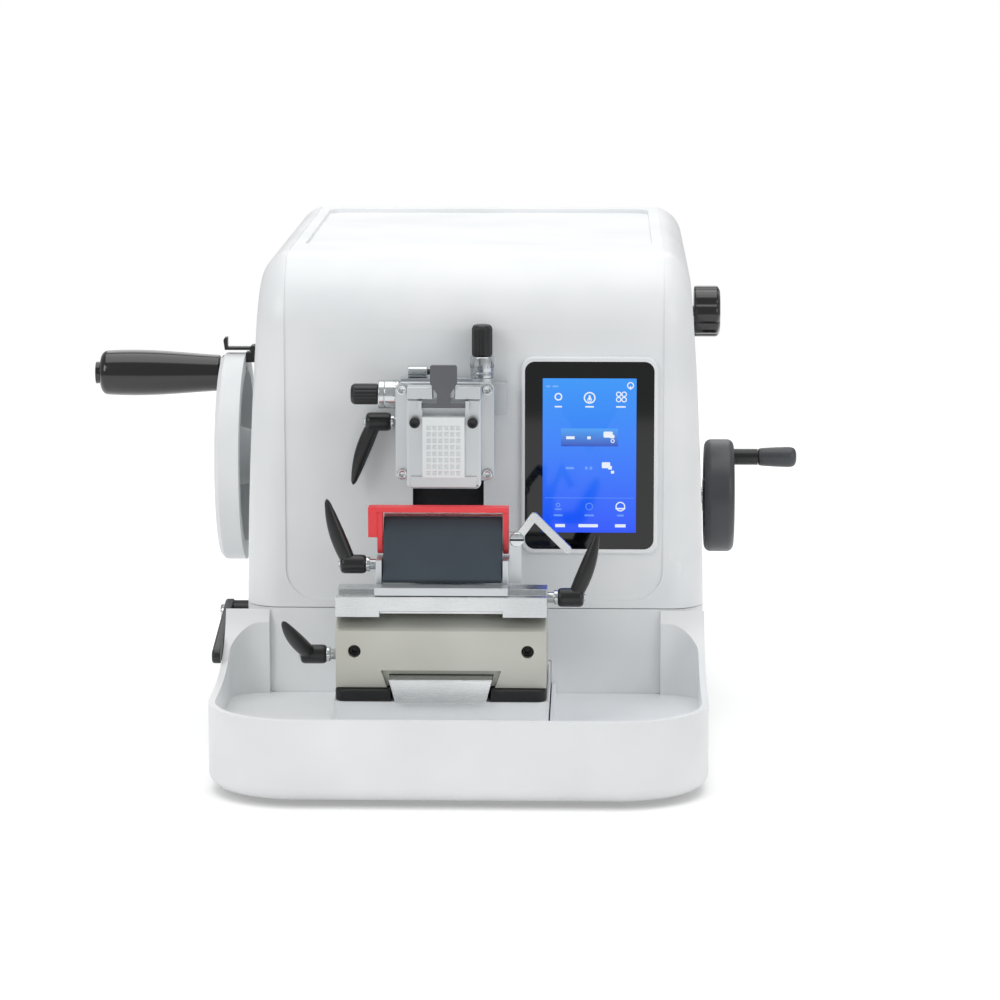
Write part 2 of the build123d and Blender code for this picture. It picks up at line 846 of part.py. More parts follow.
with BuildPart() as guide_rails:
    rail_mid = (frame_front + frame_back) / 2
    for x in (head_x - upright_inner, head_x + rail_half_spread):
        slab(x, x + rail_width, rail_mid - rail_depth / 2, rail_mid + rail_depth / 2,
             frame_z, upright_top_z - upright_thickness)
save(guide_rails.part, "guide_rails")

# Carriage that runs up and down: block, motor bracket, yoke and slot shutter
carriage_half = rail_half_spread - slide_gap
carriage_front_y = front_y + carriage_front
carriage_back_y = front_y + carriage_back
motor_y = carriage_back_y + motor_gap + motor_plate
with BuildPart() as vertical_carriage:
    slab(head_x - carriage_half, head_x + carriage_half, carriage_front_y, carriage_back_y,
         arm_z - carriage_half_height, arm_z + carriage_half_height)
    fillet(vertical_carriage.edges().filter_by(Axis.Y), 6)
    rod_y(carriage_front_y - 1, carriage_back_y + 1, head_x, arm_z,
          cylinder_radius + running_gap, mode=Mode.SUBTRACT)
    slab(head_x + motor_size / 2 + 4, head_x + motor_size / 2 + 11, carriage_back_y, motor_y,
         arm_z - motor_size / 2, arm_z + motor_size / 2)
    slab(head_x - motor_size / 2, head_x + motor_size / 2 + 11, motor_y - motor_plate, motor_y,
         arm_z - motor_size / 2, arm_z + motor_size / 2)
    rod_y(motor_y - motor_plate - 1, motor_y + 1, head_x, arm_z,
          screw_radius + running_gap, mode=Mode.SUBTRACT)
save(vertical_carriage.part, "vertical_carriage")

with BuildPart() as feed_motor:
    slab(head_x - motor_size / 2, head_x + motor_size / 2, motor_y, motor_y + motor_length,
         arm_z - motor_size / 2, arm_z + motor_size / 2)
    chamfer(feed_motor.edges().filter_by(Axis.Y), 4)
save(feed_motor.part, "feed_motor")

yoke_z = wheel_z + stroke / 2
with BuildPart() as crank_yoke:
    with BuildSketch(Plane.YZ.offset(yoke_left)) as yoke_outline:
        with BuildLine():
            Polyline(
                (carriage_back_y, yoke_z - yoke_half_height),
                (wheel_y + stroke / 2 + 3 * roller_radius, yoke_z - yoke_half_height),
                (wheel_y + stroke / 2 + 3 * roller_radius, yoke_z + yoke_half_height),
                (carriage_back_y, yoke_z + yoke_half_height), close=True,
            )
        make_face()
        with Locations((wheel_y, yoke_z)):
            SlotCenterToCenter(stroke, 2 * roller_radius + 2 * running_gap, mode=Mode.SUBTRACT)
    extrude(amount=yoke_thickness)
save(crank_yoke.part, "crank_yoke")

with BuildPart() as slot_shutter:
    shutter_y = front_y + shutter_back
    slab(head_x - shutter_half_width, head_x + shutter_half_width, shutter_y,
         shutter_y + shutter_thickness, arm_z - shutter_down, arm_z + shutter_up)
    rod_y(shutter_y - 1, carriage_front_y, head_x, arm_z,
          cylinder_radius + running_gap, mode=Mode.SUBTRACT)
    for z in (arm_z - carriage_half_height + 10, arm_z + carriage_half_height - 10):
        slab(head_x - 12, head_x + 12, shutter_y + shutter_thickness, carriage_front_y, z - 3, z + 3)
save(slot_shutter.part, "slot_shutter")

# Feed cylinder and its screw
with BuildPart() as feed_cylinder:
    rod_y(front_y - head_back, carriage_back_y, head_x, arm_z, cylinder_radius)
    chamfer(feed_cylinder.edges().filter_by(GeomType.CIRCLE).group_by(Axis.Y)[-1], 1)
    rod_y(front_y + 2 * cylinder_radius, carriage_back_y + 1, head_x, arm_z,
          screw_radius + running_gap, mode=Mode.SUBTRACT)
save(feed_cylinder.part, "feed_cylinder")

with BuildPart() as feed_screw:
    rod_y(front_y + 2 * cylinder_radius + 6, motor_y - seat_gap, head_x, arm_z, screw_radius)
    chamfer(feed_screw.edges().filter_by(GeomType.CIRCLE).group_by(Axis.Y)[0], 1)
save(feed_screw.part, "feed_screw")

# Coarse feed wheel: rim, five spokes and hub
rim_x = housing_x + coarse_rim_x
rim_mid_x = rim_x + coarse_rim_width / 2
rim_ring = coarse_radius - coarse_rim_radius
with BuildPart() as coarse_wheel:
    with BuildSketch(Plane.XZ.offset(-coarse_y)):
        with Locations((rim_mid_x, coarse_z + rim_ring)):
            RectangleRounded(coarse_rim_width, 2 * coarse_rim_radius, coarse_rim_radius - 1)
    revolve(axis=Axis((0, coarse_y, coarse_z), (1, 0, 0)))
    rod_x(rim_x - 1, rim_x + coarse_rim_width - 4, coarse_y, coarse_z, coarse_hub_radius)
    with BuildSketch(Plane.YZ.offset(rim_mid_x - 4)):
        with Locations((coarse_y, coarse_z)):
            with PolarLocations(rim_ring / 2, 5, start_angle=90):
                Rectangle(rim_ring, 8)
    extrude(amount=7)
    rod_x(rim_mid_x - 4, rim_x + coarse_rim_width, coarse_y, coarse_z + coarse_crank_radius,
          coarse_pin_radius + 2)
    rod_x(rim_x - 2, rim_x + coarse_rim_width, coarse_y, coarse_z, coarse_shaft_radius,
          mode=Mode.SUBTRACT)
save(coarse_wheel.part, "coarse_wheel")

coarse_crank_z = coarse_z + coarse_crank_radius
coarse_pin_end = rim_x + coarse_rim_width + coarse_pin_length
with BuildPart() as coarse_shaft:
    rod_x(bush_x - 30, rim_x + coarse_rim_width - 4, coarse_y, coarse_z, coarse_shaft_radius)
    rod_x(bush_x - 28, bush_x - 24, coarse_y, coarse_z, 3 * coarse_shaft_radius)
save(coarse_shaft.part, "coarse_shaft")

with BuildPart() as coarse_grip_pin:
    rod_x(rim_x + coarse_rim_width, coarse_pin_end, coarse_y, coarse_crank_z, coarse_pin_radius)
    rod_x(coarse_pin_end, coarse_pin_end + coarse_grip_length - 4, coarse_y, coarse_crank_z,
          coarse_pin_radius / 2)
save(coarse_grip_pin.part, "coarse_grip_pin")

with BuildPart() as coarse_grip:
    grip_start = coarse_pin_end + seat_gap
    turned_x(
        (
            (grip_start, 0), (grip_start, coarse_grip_radius - 1.6),
            (grip_start + 0.6 * coarse_grip_length, coarse_grip_radius),
            (grip_start + coarse_grip_length - 3, coarse_grip_radius),
            (grip_start + coarse_grip_length, coarse_grip_radius - 3),
            (grip_start + coarse_grip_length, 0),
        ),
        coarse_y, coarse_crank_z,
    )
    fillet(coarse_grip.edges().filter_by(GeomType.CIRCLE).group_by(Axis.X)[-1], 2.5)
    rod_x(coarse_pin_end, grip_start + coarse_grip_length - 3.5, coarse_y, coarse_crank_z,
          coarse_pin_radius / 2 + running_gap, mode=Mode.SUBTRACT)
save(coarse_grip.part, "coarse_grip")

# Side knob with finger lobes, on a spindle through the wall
with BuildPart() as side_knob:
    knob_start = housing_x + middle_half_width - 1.5
    with BuildSketch(Plane.YZ.offset(knob_start)):
        with Locations((front_y + knob_back, knob_z)):
            Circle(knob_radius)
            with PolarLocations(knob_radius + 3, knob_lobes):
                Circle(3 + knob_lobe_depth, mode=Mode.SUBTRACT)
    extrude(amount=knob_thickness)
    chamfer(side_knob.faces().sort_by(Axis.X)[-1].outer_wire().edges(), 1.5)
    rod_x(knob_start - 3 * wall, knob_start, front_y + knob_back, knob_z, knob_spindle_radius)
save(side_knob.part, "side_knob")

# Wheel lock: a block on the housing wall and a lever over the rim
lock_top_z = wheel_z + wheel_radius + 1
block_right = housing_x - middle_half_width + 1.6
block_left = block_right - lock_block_length
barrel_z = lock_top_z + lock_barrel_radius + seat_gap
with BuildPart() as lock_block:
    slab(block_left, block_right, wheel_y - lock_block_width / 2, wheel_y + lock_block_width / 2,
         lock_top_z - lock_block_height, lock_top_z)
save(lock_block.part, "lock_block")

with BuildPart() as wheel_lock_lever:
    tip_x = face_x + 2
    barrel_x = block_left + 5
    rod_y(wheel_y - lock_block_width / 2, wheel_y + lock_block_width / 2,
          barrel_x, barrel_z, lock_barrel_radius)
    slab(tip_x, barrel_x, wheel_y - 4, wheel_y + 4,
         barrel_z - lock_arm_thickness / 2, barrel_z + lock_arm_thickness / 2)
    profile_y(
        wheel_y - 4, wheel_y + 4,
        (
            (tip_x, barrel_z - lock_arm_thickness / 2),
            (tip_x - 1, barrel_z + lock_tip_height - 2), (tip_x, barrel_z + lock_tip_height),
            (tip_x + 2, barrel_z + lock_tip_height), (tip_x + 2, barrel_z),
        ),
    )
save(wheel_lock_lever.part, "wheel_lock_lever")

# Brake lever on the left side, its arm pointing forward
with BuildPart() as brake_lever:
    brake_y = front_y + brake_back
    brake_x = housing_x - tray_left - slide_gap
    hub = (brake_y, brake_z)
    tip = (brake_y - brake_length, brake_z - brake_drop)
    with BuildSketch(Plane.YZ.offset(brake_x - brake_thickness)):
        with Locations(hub):
            Circle(brake_hub_radius)
        with Locations(tip):
            Circle(brake_tip_radius)
        make_hull()
    extrude(amount=brake_thickness)
    fillet(brake_lever.edges().group_by(Axis.X)[0], 2)
    rod_x(brake_x, housing_x - seam_half_width - seat_gap, brake_y, brake_z, brake_hub_radius - 1)
    rod_x(brake_x, housing_x - seam_half_width + 4 * wall, brake_y, brake_z, brake_spindle_radius)
save(brake_lever.part, "brake_lever")

# Specimen head: base block with two ears and a wing for the adjusting screws
head_rear_y = front_y - head_back
head_front_y = head_rear_y - head_plate
pitch_y = front_y - pitch_forward
yaw_y = front_y - yaw_forward
ear_outer = ear_inner + ear_thickness
with BuildPart() as head_base:
    slab(head_x - head_half_width, head_x + head_half_width, head_front_y, head_rear_y,
         arm_z - head_down, arm_z + head_up)
    slab(head_x + head_half_width, head_x + head_half_width + head_wing, head_front_y, head_rear_y,
         arm_z + 6, arm_z + 28)
    fillet(head_base.edges().filter_by(Axis.Y).group_by(Axis.Z)[0], 6)
    for side in (-1, 1):
        x0 = head_x + side * ear_inner
        x1 = head_x + side * ear_outer
        slab(min(x0, x1), max(x0, x1), pitch_y, head_front_y, arm_z - ear_radius, arm_z + ear_radius)
        rod_x(min(x0, x1), max(x0, x1), pitch_y, arm_z, ear_radius)
    rod_x(head_x - ear_outer - 1, head_x + ear_outer + 1, pitch_y, arm_z,
          gimbal_pin_radius + running_gap, mode=Mode.SUBTRACT)
    rod_x(head_x - head_half_width - 1, head_x - head_half_width + lever_stud_gap + slide_gap,
          front_y - head_lever_forward, arm_z, lever_stud_radius + running_gap,
          mode=Mode.SUBTRACT)
    # boss that carries the upright adjusting screw
    rod_z(arm_z + head_up - 8, arm_z + head_up, head_x + pitch_knob_x,
          front_y - pitch_knob_forward, pitch_collar_radius)
save(head_base.part, "head_base")

# Gimbal cross: a level pin to the base block and an upright pin to the tilting plate
cross_half_width = ear_inner - slide_gap
with BuildPart() as gimbal_cross:
    slab(head_x - cross_half_width, head_x + cross_half_width, pitch_y - 5, pitch_y + 6.5,
         arm_z - 11, arm_z + 11)
    slab(head_x - 11, head_x + 11, yaw_y - 5, pitch_y + 6.5,
         arm_z - cross_half_width, arm_z + cross_half_width)
    rod_x(head_x - ear_outer, head_x + ear_outer, pitch_y, arm_z, gimbal_pin_radius)
    rod_z(arm_z - ear_outer, arm_z + ear_outer, head_x, yaw_y, gimbal_pin_radius)
    slab(head_x - head_half_width, head_x - 9, front_y - yaw_knob_forward - 6,
         front_y - yaw_knob_forward + 6, arm_z + 14, arm_z + yaw_knob_up + 6)
    slab(head_x - 11, head_x - 9, front_y - yaw_knob_forward - 6,
         front_y - yaw_knob_forward + 6, arm_z + 12, arm_z + yaw_knob_up - 3)
save(gimbal_cross.part, "gimbal_cross")

# Tilting plate with its two ears
plate_rear_y = front_y - tilt_plate_forward
plate_front_y = plate_rear_y - tilt_plate_thickness
with BuildPart() as tilt_plate:
    slab(head_x - tilt_plate_half, head_x + tilt_plate_half, plate_front_y, plate_rear_y,
         arm_z - tilt_plate_half, arm_z + tilt_plate_half)
    fillet(tilt_plate.edges().filter_by(Axis.Y), 5)
    for side in (-1, 1):
        z0 = arm_z + side * ear_inner
        z1 = arm_z + side * ear_outer
        slab(head_x - ear_radius, head_x + ear_radius, plate_rear_y, yaw_y, min(z0, z1), max(z0, z1))
        rod_z(min(z0, z1), max(z0, z1), head_x, yaw_y, ear_radius)
    rod_z(arm_z - ear_outer - 1, arm_z + ear_outer + 1, head_x, yaw_y,
          gimbal_pin_radius + running_gap, mode=Mode.SUBTRACT)
save(tilt_plate.part, "tilt_plate")

# Cassette clamp: body with a shallow seat, a lower jaw and the lever's lugs
clamp_front_y = plate_front_y - clamp_thickness
paddle_y = clamp_front_y - paddle_pin_radius - 0.2
paddle_z = arm_z + paddle_pivot_up
with BuildPart() as clamp_body:
    slab(head_x - clamp_half_width, head_x + clamp_half_width, clamp_front_y, plate_front_y,
         arm_z - clamp_down, arm_z + clamp_up)
    fillet(clamp_body.edges().filter_by(Axis.Y).group_by(Axis.Z)[0], 4)
    chamfer(clamp_body.faces().sort_by(Axis.Y)[0].outer_wire().edges(), 1)
    slab(head_x - cassette_width / 2 - running_gap, head_x + cassette_width / 2 + running_gap,
         clamp_front_y - 1, clamp_front_y + cassette_thickness - cassette_proud,
         arm_z - cassette_low, arm_z + clamp_up + 1, mode=Mode.SUBTRACT)
    slab(head_x - clamp_half_width + 3, head_x + clamp_half_width - 3,
         clamp_front_y - jaw_overhang, clamp_front_y, arm_z - clamp_down + 1.5, arm_z - cassette_low)
    for side in (-1, 1):
        x0 = head_x + side * (cassette_width / 2 + 0.5)
        x1 = x0 + side * 2.5
        slab(min(x0, x1), max(x0, x1), paddle_y - 2 * paddle_pin_radius, clamp_front_y,
             paddle_z - 3.5, paddle_z + 3.5)
    rod_x(head_x - clamp_half_width + 6, head_x + clamp_half_width - 6, paddle_y, paddle_z,
          paddle_pin_radius + running_gap, mode=Mode.SUBTRACT)
save(clamp_body.part, "clamp_body")

with BuildPart() as head_screws:
    for side in (-1, 1):
        for z in (arm_z - corner_screw_spread, arm_z + corner_screw_spread):
            rod_y(plate_front_y - screw_head, plate_front_y,
                  head_x + side * corner_screw_spread, z, corner_screw_radius)
        rod_y(clamp_front_y - screw_head, clamp_front_y,
              head_x + side * clamp_screw_spread, arm_z + clamp_screw_up, clamp_screw_radius)
save(head_screws.part, "head_screws")

with BuildPart() as cassette:
    cassette_rear_y = clamp_front_y + cassette_thickness - cassette_proud
    cassette_top = arm_z - cassette_low + cassette_height
    slab(head_x - cassette_width / 2, head_x + cassette_width / 2,
         cassette_rear_y - cassette_thickness, cassette_rear_y,
         arm_z - cassette_low, cassette_top)
    with BuildSketch(Plane.XZ.offset(-cassette_rear_y + cassette_thickness)):
        with Locations((head_x, arm_z - cassette_low + cassette_height / 2 - 2)):
            with GridLocations(4, 4.4, 6, 8):
                Rectangle(2.6, 2.8)
    extrude(amount=-1.2, mode=Mode.SUBTRACT)
save(cassette.part, "cassette")

with BuildPart() as upper_jaw:
    for side in (-1, 1):
        x0 = head_x + side * upper_jaw_gap
        x1 = head_x + side * (clamp_half_width - 0.2)
        slab(min(x0, x1), max(x0, x1), clamp_front_y - jaw_overhang, clamp_front_y + 12,
             arm_z + clamp_up + seat_gap, arm_z + clamp_up + seat_gap + jaw_height)
    slab(head_x - upper_jaw_gap, head_x + upper_jaw_gap, clamp_front_y + 4, clamp_front_y + 12,
         arm_z + clamp_up + seat_gap, arm_z + clamp_up + seat_gap + jaw_height)
save(upper_jaw.part, "upper_jaw")

with BuildPart() as cassette_lever:
    with BuildSketch(Plane.XZ.offset(-paddle_y - paddle_thickness / 2 + paddle_thickness)):
        with BuildLine():
            Polyline(
                (head_x - paddle_neck / 2, paddle_z), (head_x + paddle_neck / 2, paddle_z),
                (head_x + paddle_neck / 2, paddle_z + 8),
                (head_x + paddle_width / 2, paddle_z + 15),
                (head_x + paddle_width / 2, arm_z + paddle_top),
                (head_x - paddle_width / 2, arm_z + paddle_top),
                (head_x - paddle_width / 2, paddle_z + 15),
                (head_x - paddle_neck / 2, paddle_z + 8), close=True,
            )
        make_face()
    extrude(amount=-paddle_thickness)
    fillet(cassette_lever.edges().filter_by(Axis.Y).group_by(Axis.Z)[-1], 1.5)
    rod_x(head_x - cassette_width / 2 - 3, head_x + cassette_width / 2 + 3, paddle_y, paddle_z,
          paddle_pin_radius)
save(cassette_lever.part, "cassette_lever")


# Tilt adjusters: scale collars and knobs
yaw_knob_y = front_y - yaw_knob_forward
yaw_knob_z = arm_z + yaw_knob_up
yaw_collar_x = head_x - head_half_width
pitch_y_axis = front_y - pitch_knob_forward
pitch_collar_z = arm_z + head_up
with BuildPart() as yaw_collar:
    rod_x(yaw_collar_x - yaw_collar_length, yaw_collar_x, yaw_knob_y, yaw_knob_z, yaw_collar_radius)
    rod_x(yaw_collar_x - yaw_collar_length, yaw_collar_x, yaw_knob_y, yaw_knob_z,
          adjuster_pin_radius + running_gap, mode=Mode.SUBTRACT)
    chamfer(yaw_collar.faces().sort_by(Axis.X)[0].outer_wire().edges(), 0.8)
save(yaw_collar.part, "yaw_collar")

with BuildPart() as pitch_collar:
    rod_z(pitch_collar_z, pitch_collar_z + pitch_collar_length, head_x + pitch_knob_x,
          pitch_y_axis, pitch_collar_radius)
    rod_z(pitch_collar_z, pitch_collar_z + pitch_collar_length, head_x + pitch_knob_x,
          pitch_y_axis, adjuster_pin_radius + running_gap, mode=Mode.SUBTRACT)
    chamfer(pitch_collar.faces().sort_by(Axis.Z)[-1].outer_wire().edges(), 0.8)
save(pitch_collar.part, "pitch_collar")

with BuildPart() as yaw_knob:
    knob_face = yaw_collar_x - yaw_collar_length - seat_gap
    with BuildSketch(Plane.YZ.offset(knob_face)):
        with Locations((yaw_knob_y, yaw_knob_z)):
            Circle(knob_r)
            with PolarLocations(knob_r, 10):
                Rectangle(1.2, 1.3, mode=Mode.SUBTRACT)
    extrude(amount=-yaw_knob_length)
    chamfer(yaw_knob.faces().sort_by(Axis.X)[0].outer_wire().edges(), 0.9)
    rod_x(knob_face, yaw_collar_x - 2, yaw_knob_y, yaw_knob_z, adjuster_pin_radius)
save(yaw_knob.part, "yaw_knob")

with BuildPart() as pitch_knob:
    knob_base = pitch_collar_z + pitch_collar_length + seat_gap
    with BuildSketch(Plane.XY.offset(knob_base)):
        with Locations((head_x + pitch_knob_x, pitch_y_axis)):
            Circle(knob_r)
            with PolarLocations(knob_r, 10):
                Rectangle(1.2, 1.3, mode=Mode.SUBTRACT)
    extrude(amount=pitch_knob_length)
    chamfer(pitch_knob.faces().sort_by(Axis.Z)[-1].outer_wire().edges(), 0.9)
    rod_z(pitch_collar_z + 2, knob_base, head_x + pitch_knob_x, pitch_y_axis, adjuster_pin_radius)
save(pitch_knob.part, "pitch_knob")


def clamping_lever(name, stud_x, hub_x, side, y, z, turn):
    """A lever: a steel stud, a hub along X and an arm that leans outwards at the given turn."""
    hub_end = hub_x + side * lever_hub_length
    root = (hub_x + side * 0.6 * lever_hub_length, y, z)
    arm = (side * lever_lean, -lever_arm_reach * sin(radians(turn)),
           lever_arm_reach * cos(radians(turn)))
    across = (0, cos(radians(turn)), sin(radians(turn)))
    length = (lever_lean**2 + lever_arm_reach**2) ** 0.5
    with BuildPart() as handle:
        turned_x(
            (
                (hub_x, 0), (hub_x, lever_hub_radius - 0.8), (hub_x + side * 0.8, lever_hub_radius),
                (hub_end - side * 3, lever_hub_radius), (hub_end - side, lever_hub_radius - 1.4),
                (hub_end, lever_hub_radius - 4), (hub_end, 0),
            ),
            y, z,
        )
        with BuildSketch(Plane(origin=root, x_dir=arm, z_dir=across)) as half_outline:
            with BuildLine():
                Line((0, 0), (0, lever_arm_root))
                Line((0, lever_arm_root), (0.5 * length, lever_arm_waist))
                Line((0.5 * length, lever_arm_waist), (length - lever_arm_tip, lever_arm_tip))
                RadiusArc((length - lever_arm_tip, lever_arm_tip), (length, 0), lever_arm_tip)
                Line((length, 0), (0, 0))
            make_face()
        revolve(half_outline.sketch, axis=Axis(root, arm))
    with BuildPart() as stud:
        rod_x(min(stud_x, hub_x), max(stud_x, hub_x), y, z, lever_stud_radius)
    lever = Compound(children=[handle.part, stud.part])
    save_all(lever, name)


def save_all(pieces, name):
    """Labels a group of separate solids and writes their file."""
    pieces.label = name
    export_step(pieces, f"parts/{name}.step")


# Holder plate: a black plate on the pedestal, open in the middle for the rail
plate_bridge = holder_plate_rear + 7
with BuildPart() as holder_plate:
    slab(head_x - holder_plate_half, head_x + holder_plate_half, front_y - holder_plate_front,
         front_y - holder_plate_rear, pedestal_top_z, holder_plate_top_z)
    fillet(holder_plate.edges().filter_by(Axis.Z).group_by(Axis.Y)[0], 8)
    slab(head_x - rail_bottom_half - 3, head_x + rail_bottom_half + 3,
         front_y - holder_plate_front - 1, front_y - plate_bridge,
         pedestal_top_z - 1, holder_plate_top_z + 1, mode=Mode.SUBTRACT)
save(holder_plate.part, "holder_plate")

# Dovetail rail
with BuildPart() as holder_rail:
    profile_y(
        front_y - rail_front, front_y - plate_bridge - slide_gap,
        (
            (head_x - rail_bottom_half, pedestal_top_z), (head_x + rail_bottom_half, pedestal_top_z),
            (head_x + rail_top_half, rail_top_z), (head_x - rail_top_half, rail_top_z),
        ),
    )
save(holder_rail.part, "holder_rail")

# Blade holder base: grooved underneath, bevelled in front
holder_bottom_z = holder_plate_top_z + slide_gap
flare = (rail_top_half - rail_bottom_half) / (rail_top_z - pedestal_top_z)
groove_bottom_half = rail_bottom_half + flare * (holder_bottom_z - pedestal_top_z) + slide_gap
groove_top_half = rail_top_half + slide_gap
with BuildPart() as holder_base:
    profile_x(
        head_x - holder_half, head_x + holder_half,
        (
            (front_y - holder_front, holder_bottom_z), (front_y - holder_rear, holder_bottom_z),
            (front_y - holder_rear, holder_top_z),
            (front_y - holder_front + bevel_back, holder_top_z),
            (front_y - holder_front, holder_top_z - bevel_drop),
        ),
    )
    profile_y(
        front_y - holder_front - 1, front_y - holder_rear + 1,
        (
            (head_x - groove_bottom_half, holder_bottom_z - 1),
            (head_x - groove_bottom_half, holder_bottom_z),
            (head_x - groove_top_half, rail_top_z + slide_gap),
            (head_x + groove_top_half, rail_top_z + slide_gap),
            (head_x + groove_bottom_half, holder_bottom_z),
            (head_x + groove_bottom_half, holder_bottom_z - 1),
        ),
        mode=Mode.SUBTRACT,
    )
    profile_y(
        front_y - holder_front - 1, front_y - holder_front + mouth_depth,
        (
            (head_x - mouth_half_bottom, holder_bottom_z - 1),
            (head_x - mouth_half_top, mouth_top_z), (head_x + mouth_half_top, mouth_top_z),
            (head_x + mouth_half_bottom, holder_bottom_z - 1),
        ),
        mode=Mode.SUBTRACT,
    )
    for side in (-1, 1):
        rod_y(front_y - holder_front - 1, front_y - holder_front + holder_hole_depth,
              head_x + side * holder_hole_spread, holder_hole_z, holder_hole_radius,
              mode=Mode.SUBTRACT)
    rod_x(head_x - holder_half - 1, head_x - holder_half + lever_stud_gap + slide_gap,
          front_y - holder_lever_forward, holder_lever_z, lever_stud_radius + running_gap,
          mode=Mode.SUBTRACT)
save(holder_base.part, "holder_base")

# Cross rail: a steel plate with a dovetail ridge and two lips in front
ridge_half_top = (ridge_front - ridge_rear) / 2
ridge_half_bottom = ridge_half_top - ridge_undercut
ridge_y = front_y - (ridge_front + ridge_rear) / 2
with BuildPart() as cross_rail:
    slab(head_x - cross_half, head_x + cross_half, front_y - cross_front + lip_depth,
         front_y - cross_rear, holder_top_z, cross_top_z)
    slab(head_x - cross_half, head_x + cross_half, front_y - cross_front,
         front_y - cross_front + lip_depth, lip_middle_z, lip_top_z)
    for side in (-1, 1):
        x0 = head_x + side * lip_half
        x1 = head_x + side * cross_half
        slab(min(x0, x1), max(x0, x1), front_y - cross_front, front_y - cross_front + lip_depth,
             lip_bottom_z, lip_middle_z)
    profile_x(
        head_x - cross_half, head_x + cross_half,
        (
            (ridge_y - ridge_half_bottom, cross_top_z), (ridge_y + ridge_half_bottom, cross_top_z),
            (ridge_y + ridge_half_top, ridge_top_z), (ridge_y - ridge_half_top, ridge_top_z),
        ),
    )
    # Rebate behind the ridge, where the specimen clamp comes down at the foot of its stroke
    slab(head_x - cross_half - 1, head_x + cross_half + 1,
         clamp_front_y - jaw_overhang - cross_rebate_gap, front_y - cross_rear + 1,
         cross_top_z - cross_rebate_drop, cross_top_z + 1, mode=Mode.SUBTRACT)
    rod_x(head_x + cross_half - lever_stud_gap - slide_gap, head_x + cross_half + 1,
          front_y - lateral_lever_forward, lateral_lever_z, lever_stud_radius + running_gap,
          mode=Mode.SUBTRACT)
save(cross_rail.part, "cross_rail")

# Lateral carriage: a grooved block with two cheeks
with BuildPart() as lateral_carriage:
    slab(head_x - lateral_half, head_x + lateral_half, front_y - lateral_front,
         front_y - lateral_rear, cross_top_z + slide_gap, lateral_top_z)
    profile_x(
        head_x - lateral_half - 1, head_x + lateral_half + 1,
        (
            (ridge_y - ridge_half_bottom - slide_gap, cross_top_z - 1),
            (ridge_y - ridge_half_bottom - slide_gap, cross_top_z),
            (ridge_y - ridge_half_top - slide_gap, ridge_top_z + slide_gap),
            (ridge_y + ridge_half_top + slide_gap, ridge_top_z + slide_gap),
            (ridge_y + ridge_half_bottom + slide_gap, cross_top_z),
            (ridge_y + ridge_half_bottom + slide_gap, cross_top_z - 1),
        ),
        mode=Mode.SUBTRACT,
    )
    slab(head_x - lateral_half, head_x + lateral_half, front_y - bar_front, front_y - bar_rear,
         lip_top_z + slide_gap, bar_top_z)
    for side in (-1, 1):
        x0 = head_x + side * cheek_inner
        x1 = head_x + side * lateral_half
        slab(min(x0, x1), max(x0, x1), front_y - cheek_front, front_y - cheek_rear,
             lateral_top_z, cheek_top_z)
    rod_x(head_x - lateral_half - 1, head_x - cheek_inner + 1, front_y - blade_lever_forward,
          blade_lever_z, lever_stud_radius + running_gap, mode=Mode.SUBTRACT)
save(lateral_carriage.part, "lateral_carriage")


def blade_face(down, ahead):
    """A point in Y and Z: down the leaning blade face from the edge, and ahead of the face."""
    lean = radians(blade_lean)
    return (
        edge_y - down * sin(lean) - ahead * cos(lean),
        edge_z - down * cos(lean) + ahead * sin(lean),
    )


# Blade carrier: a leaning wedge with two pins for the finger guard
face_length = (edge_z - carrier_bottom_z) / cos(radians(blade_lean))
guard_pivot_y = front_y - guard_pivot_forward
with BuildPart() as blade_carrier:
    profile_x(
        head_x - carrier_half, head_x + carrier_half,
        (
            blade_face(carrier_top_drop, -blade_thickness),
            (blade_face(face_length, 0)[0] + 0.3, carrier_bottom_z),
            (edge_y - carrier_rear_back, carrier_bottom_z),
            (edge_y - carrier_relief, edge_z - carrier_top_drop),
        ),
    )
    for side in (-1, 1):
        x0 = head_x + side * (carrier_half - 1)
        x1 = head_x + side * guard_arm_outer
        rod_x(min(x0, x1), max(x0, x1), guard_pivot_y, guard_pivot_z, guard_pin_radius)
save(blade_carrier.part, "blade_carrier")

# Disposable blade, ground on both sides of its edge
with BuildPart() as blade:
    profile_x(
        head_x - blade_length / 2, head_x + blade_length / 2,
        (
            blade_face(0, -blade_thickness / 2), blade_face(1, 0), blade_face(blade_height, 0),
            blade_face(blade_height, -blade_thickness), blade_face(1, -blade_thickness),
        ),
    )
save(blade.part, "blade")

# Pressure plate that holds the blade
hinge_ahead = seat_gap + plate_thickness / 2
with BuildPart() as pressure_plate:
    profile_x(
        head_x - carrier_half, head_x + carrier_half,
        (
            blade_face(plate_top_drop, seat_gap),
            blade_face(plate_top_drop + 2, seat_gap + plate_thickness),
            blade_face(plate_length, seat_gap + plate_thickness),
            blade_face(plate_length, seat_gap),
        ),
    )
    rod_x(head_x - carrier_half, head_x + carrier_half,
          blade_face(plate_length, hinge_ahead)[0], blade_face(plate_length, hinge_ahead)[1],
          plate_thickness / 2)
save(pressure_plate.part, "pressure_plate")

